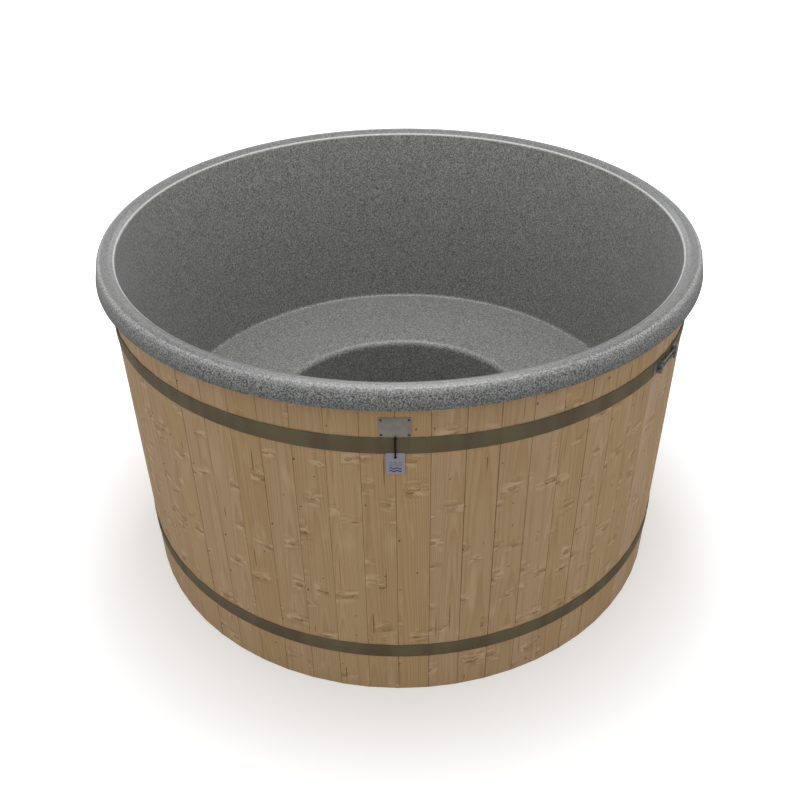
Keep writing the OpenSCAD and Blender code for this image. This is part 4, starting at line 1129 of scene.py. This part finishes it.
foam_pale, foam_place, foam_shader = surface("foam_pale", (222, 214, 192), 0.9)
foam_cells = add(foam_place.tree, "ShaderNodeTexVoronoi", {
    "Vector": foam_place, "Scale": 260.0})["Distance"]
feed(foam_shader, Base_Color=mix(fade(foam_cells, 0.1, 0.7), (228, 221, 200), (196, 186, 160)))
bump(foam_shader, foam_cells, 0.0012, 0.6)
paint(foam_pale, "floor_insulation", "wall_insulation")
screw_zinc = metal("screw_zinc", (170, 166, 150), (140, 136, 122), 0.38, 0.85, (900, 900, 900))
paint(screw_zinc, "base_screws")

# ---- the drain ----
# A stainless grate and flange, turned and brushed, clamp a rubber ring against the bath's floor
# with one cross-head screw. The body and the pipe below are moulded in dark grey plastic.
stainless = metal("stainless", (176, 177, 176), (152, 153, 153), 0.3, 0.9, (60, 900, 900))
rubber = metal("seal_rubber", (42, 42, 43), (30, 30, 32), 0.7, 0.0, (1200, 1200, 1200))
pipe_grey = metal("pipe_plastic", (88, 90, 92), (78, 80, 82), 0.42, 0.0, (400, 400, 400))
drain_steel = metal("drain_steel", (140, 141, 140), (118, 119, 119), 0.55, 0.7, (900, 900, 60))
paint(drain_steel, "drain_flange", "drain_grate")
paint(rubber, "drain_gasket")
paint(pipe_grey, "drain_body", "drain_pipe")
drain_screw = screw_mesh("drain_screw", head=0.005, high=0.0018, shank=0.0025, length=0.0095,
                         around=32)
drain_screw.transform(Matrix.Translation(drain_middle + Vector((0, 0, FLOOR_Z))))
new_piece("drain_screw_cross", drain_screw, "tub", drain_steel, "screw_steel", "drain_screw")

# ---- the valve ----
# A ball valve of nickel-plated brass with a chromed ball in two white seats, a barbed nipple for
# the hose and a zinc-plated lever. The lever's end is dipped in red vinyl.
GRIP_WIDE, GRIP_THICK = 0.021, 0.006
GRIP_FROM, GRIP_LONG = 0.058, 0.0607
GRIP_MOUTH, GRIP_END = 0.0575, 0.1195
LEVER_HALF_WIDE, LEVER_HALF_THICK, LEVER_END = 0.00915, 0.00165, 0.1181
LEVER_HEIGHT = 0.0535
VALVE_OUT = 0.057
HAND_NUT_LOW, HAND_NUT_HIGH, HAND_NUT_BORE = 0.043, 0.0495, 0.0038
nickel = metal("nickel_brass", (196, 186, 158), (174, 163, 134), 0.3, 0.85, (300, 300, 300))
chrome = metal("ball_chrome", (220, 220, 220), (208, 208, 210), 0.12, 1.0, (200, 200, 200))
seat_white = metal("seat_plastic", (238, 238, 234), (228, 228, 222), 0.45, 0.0, (700, 700, 700))
lever_zinc = metal("lever_zinc", (186, 188, 190), (160, 163, 166), 0.36, 0.8, (90, 700, 700))
grip_red = metal("grip_vinyl", (168, 34, 30), (150, 26, 24), 0.35, 0.0, (350, 350, 350))
paint(nickel, "valve_body", "valve_end_cap", "valve_stem", "hose_nipple")
paint(chrome, "valve_ball")
paint(seat_white, "valve_seats")
paint(lever_zinc, "valve_lever")

at_valve = Matrix.Rotation(DRAIN_TURN, 4, "Z") @ Matrix.Translation(
    (STAVE_FACE + VALVE_OUT, 0, DRAIN_HEIGHT))


def soft_oblong(half_wide, half_thick, height, squareness):
    """A ring in the shape of a rectangle with eased corners."""
    def rule(angle):
        return (abs(cos(angle) / half_wide) ** squareness
                + abs(sin(angle) / half_thick) ** squareness) ** (-1 / squareness), height
    return rule


grip_rings = [soft_oblong(LEVER_HALF_WIDE, LEVER_HALF_THICK, LEVER_END, 12),
              soft_oblong(LEVER_HALF_WIDE, LEVER_HALF_THICK, GRIP_MOUTH, 12),
              soft_oblong(GRIP_WIDE / 2 * 0.95, GRIP_THICK / 2 * 0.9, GRIP_MOUTH, 5)]
for step in range(41):
    along = step / 40
    ease = 1 - 0.5 * max(0.0, 2 * along - 1.5) ** 2
    ridge = 1 - 0.03 * (0.5 + 0.5 * cos(2 * pi * along * 7))
    grip_rings.append(soft_oblong(GRIP_WIDE / 2 * ridge * ease, GRIP_THICK / 2 * ridge,
                                  GRIP_FROM + GRIP_LONG * along, 5))
grip_rings.append(soft_oblong(GRIP_WIDE / 2 * 0.8, GRIP_THICK / 2 * 0.7, GRIP_END, 5))
grip = turned("grip", grip_rings, 96)
grip.transform(at_valve @ Matrix.Translation((0, 0, LEVER_HEIGHT))
               @ Matrix.Rotation(radians(90), 4, "X"))
new_piece("grip_sleeve", grip, "valve_handle", grip_red, "lever_grip", "valve_grip")

hand_nut_apothem = 0.0075 * cos(radians(30))
hand_nut = hex_nut("hand_nut", hand_nut_apothem, HAND_NUT_BORE, HAND_NUT_LOW, HAND_NUT_HIGH,
                   0.0003)
hand_nut.transform(at_valve @ Matrix.Rotation(radians(30), 4, "Z"))
new_piece("lever_nut", hand_nut, "valve_handle", lever_zinc, "lever_steel", "valve_nut")

# ---- the heater connections ----
# Two spun stainless spigots pass through the bath's pads and the staves. A perforated guard and a
# rubber ring are screwed up with each flange, and a rubber rosette closes the hole in the staves.
HEATER_RING = 0.047
FLANGE_FRONT = 0.0065
paint(stainless, "lower_heater_spigot", "lower_heater_guard", "upper_heater_spigot",
      "upper_heater_guard")
paint(rubber, "heater_gaskets", "heater_rosettes")


def round_a_flange(tree, given):
    """Sets screws in a ring about a level pipe, with their heads towards the tub's middle."""
    circle = add(tree, "GeometryNodeMeshCircle", {
        "Vertices": given["Count"], "Radius": given["Ring"]})[0]
    between = add(tree, "GeometryNodeTransform", {
        "Geometry": circle, "Rotation": (0, 0, radians(45))})[0]
    upright = add(tree, "GeometryNodeTransform", {
        "Geometry": on_points(between, given), "Rotation": (0, radians(-90), 0),
        "Translation": vector(X=given["Front"])})[0]
    return made_of(stood(upright, given["Turn"], given["Height"]), given["Steel"])


heater_screw = screw_mesh("heater_screw", head=0.0045, high=0.0025, shank=0.0025, length=0.020)
all_screws = bmesh.new()
for face, height in zip(pad_faces, HEATER_HEIGHTS):
    all_screws.from_mesh(node_modifier("flange_screws", heater_screw, round_a_flange, Count=4,
                                       Ring=HEATER_RING, Front=face - FLANGE_FRONT,
                                       Turn=HEATER_TURN, Height=height, Steel=stainless))
flange_screws = bpy.data.meshes.new("flange_screws")
all_screws.to_mesh(flange_screws)
all_screws.free()
new_piece("flange_screws", flange_screws, "tub", stainless, "screw_steel", "heater_screws")

# ---- the floor and the light ----
# A plain pale floor under an even studio sky, with one wide soft lamp above the tub and a smaller,
# weaker one behind it. The camera sees floor and sky as white.
floor_pale, floor_place, floor_shader = surface("floor_pale", (0.9, 0.9, 0.9, 1), 0.9)
floor_rays = add(floor_place.tree, "ShaderNodeLightPath")
feed(floor_shader, Base_Color=mix(floor_rays["Is Camera Ray"], (0.45, 0.45, 0.45, 1),
                                  (0.9, 0.9, 0.9, 1)))
floor_far = add(floor_place.tree, "ShaderNodeVectorMath", {0: floor_place},
                operation="LENGTH")["Value"]
floor_glow = floor_rays["Is Camera Ray"] * fade(floor_far, 0.8, 2.4, 0.22, 0.9)
feed(floor_shader, Emission_Strength=floor_glow)
floor_shader.inputs["Emission Color"].default_value = (1, 1, 1, 1)
floor_mesh = mesh_of("floor", [(-30, -30, 0), (30, -30, 0), (30, 30, 0), (-30, 30, 0)],
                     [(0, 1, 2, 3)], smooth=False)
floor_mesh.materials.append(floor_pale)
floor = put("floor", floor_mesh)

world = bpy.data.worlds.new("sky")
world.use_nodes = True
bpy.context.scene.world = world
sky = world.node_tree
sky_rays = add(sky, "ShaderNodeLightPath")
sky_seen = sums("MAXIMUM", sky_rays["Is Camera Ray"],
                sums("MAXIMUM", sky_rays["Is Glossy Ray"], sky_rays["Is Transmission Ray"]))
feed(sky.nodes["Background"], Strength=fade(sky_seen, 0.0, 1.0, 0.82, 1.0))
sky.nodes["Background"].inputs["Color"].default_value = (1, 1, 1, 1)


def lamp(name, size, power, place, aim):
    """A square soft lamp that looks from a place at a point."""
    data = bpy.data.lights.new(name, "AREA")
    data.size = size
    data.energy = power
    thing = put(name, data)
    way = (Vector(aim) - Vector(place)).to_track_quat("-Z", "Y").to_matrix().to_4x4()
    thing.matrix_world = Matrix.Translation(place) @ way


lamp("lamp_above", size=1.6, power=48.0, place=(0.0, 0.1, 2.7), aim=(0, 0.1, 0.5))
lamp("lamp_behind", size=0.8, power=8.0, place=(0.0, 3.1, 2.5), aim=(0, 0, 0.9))
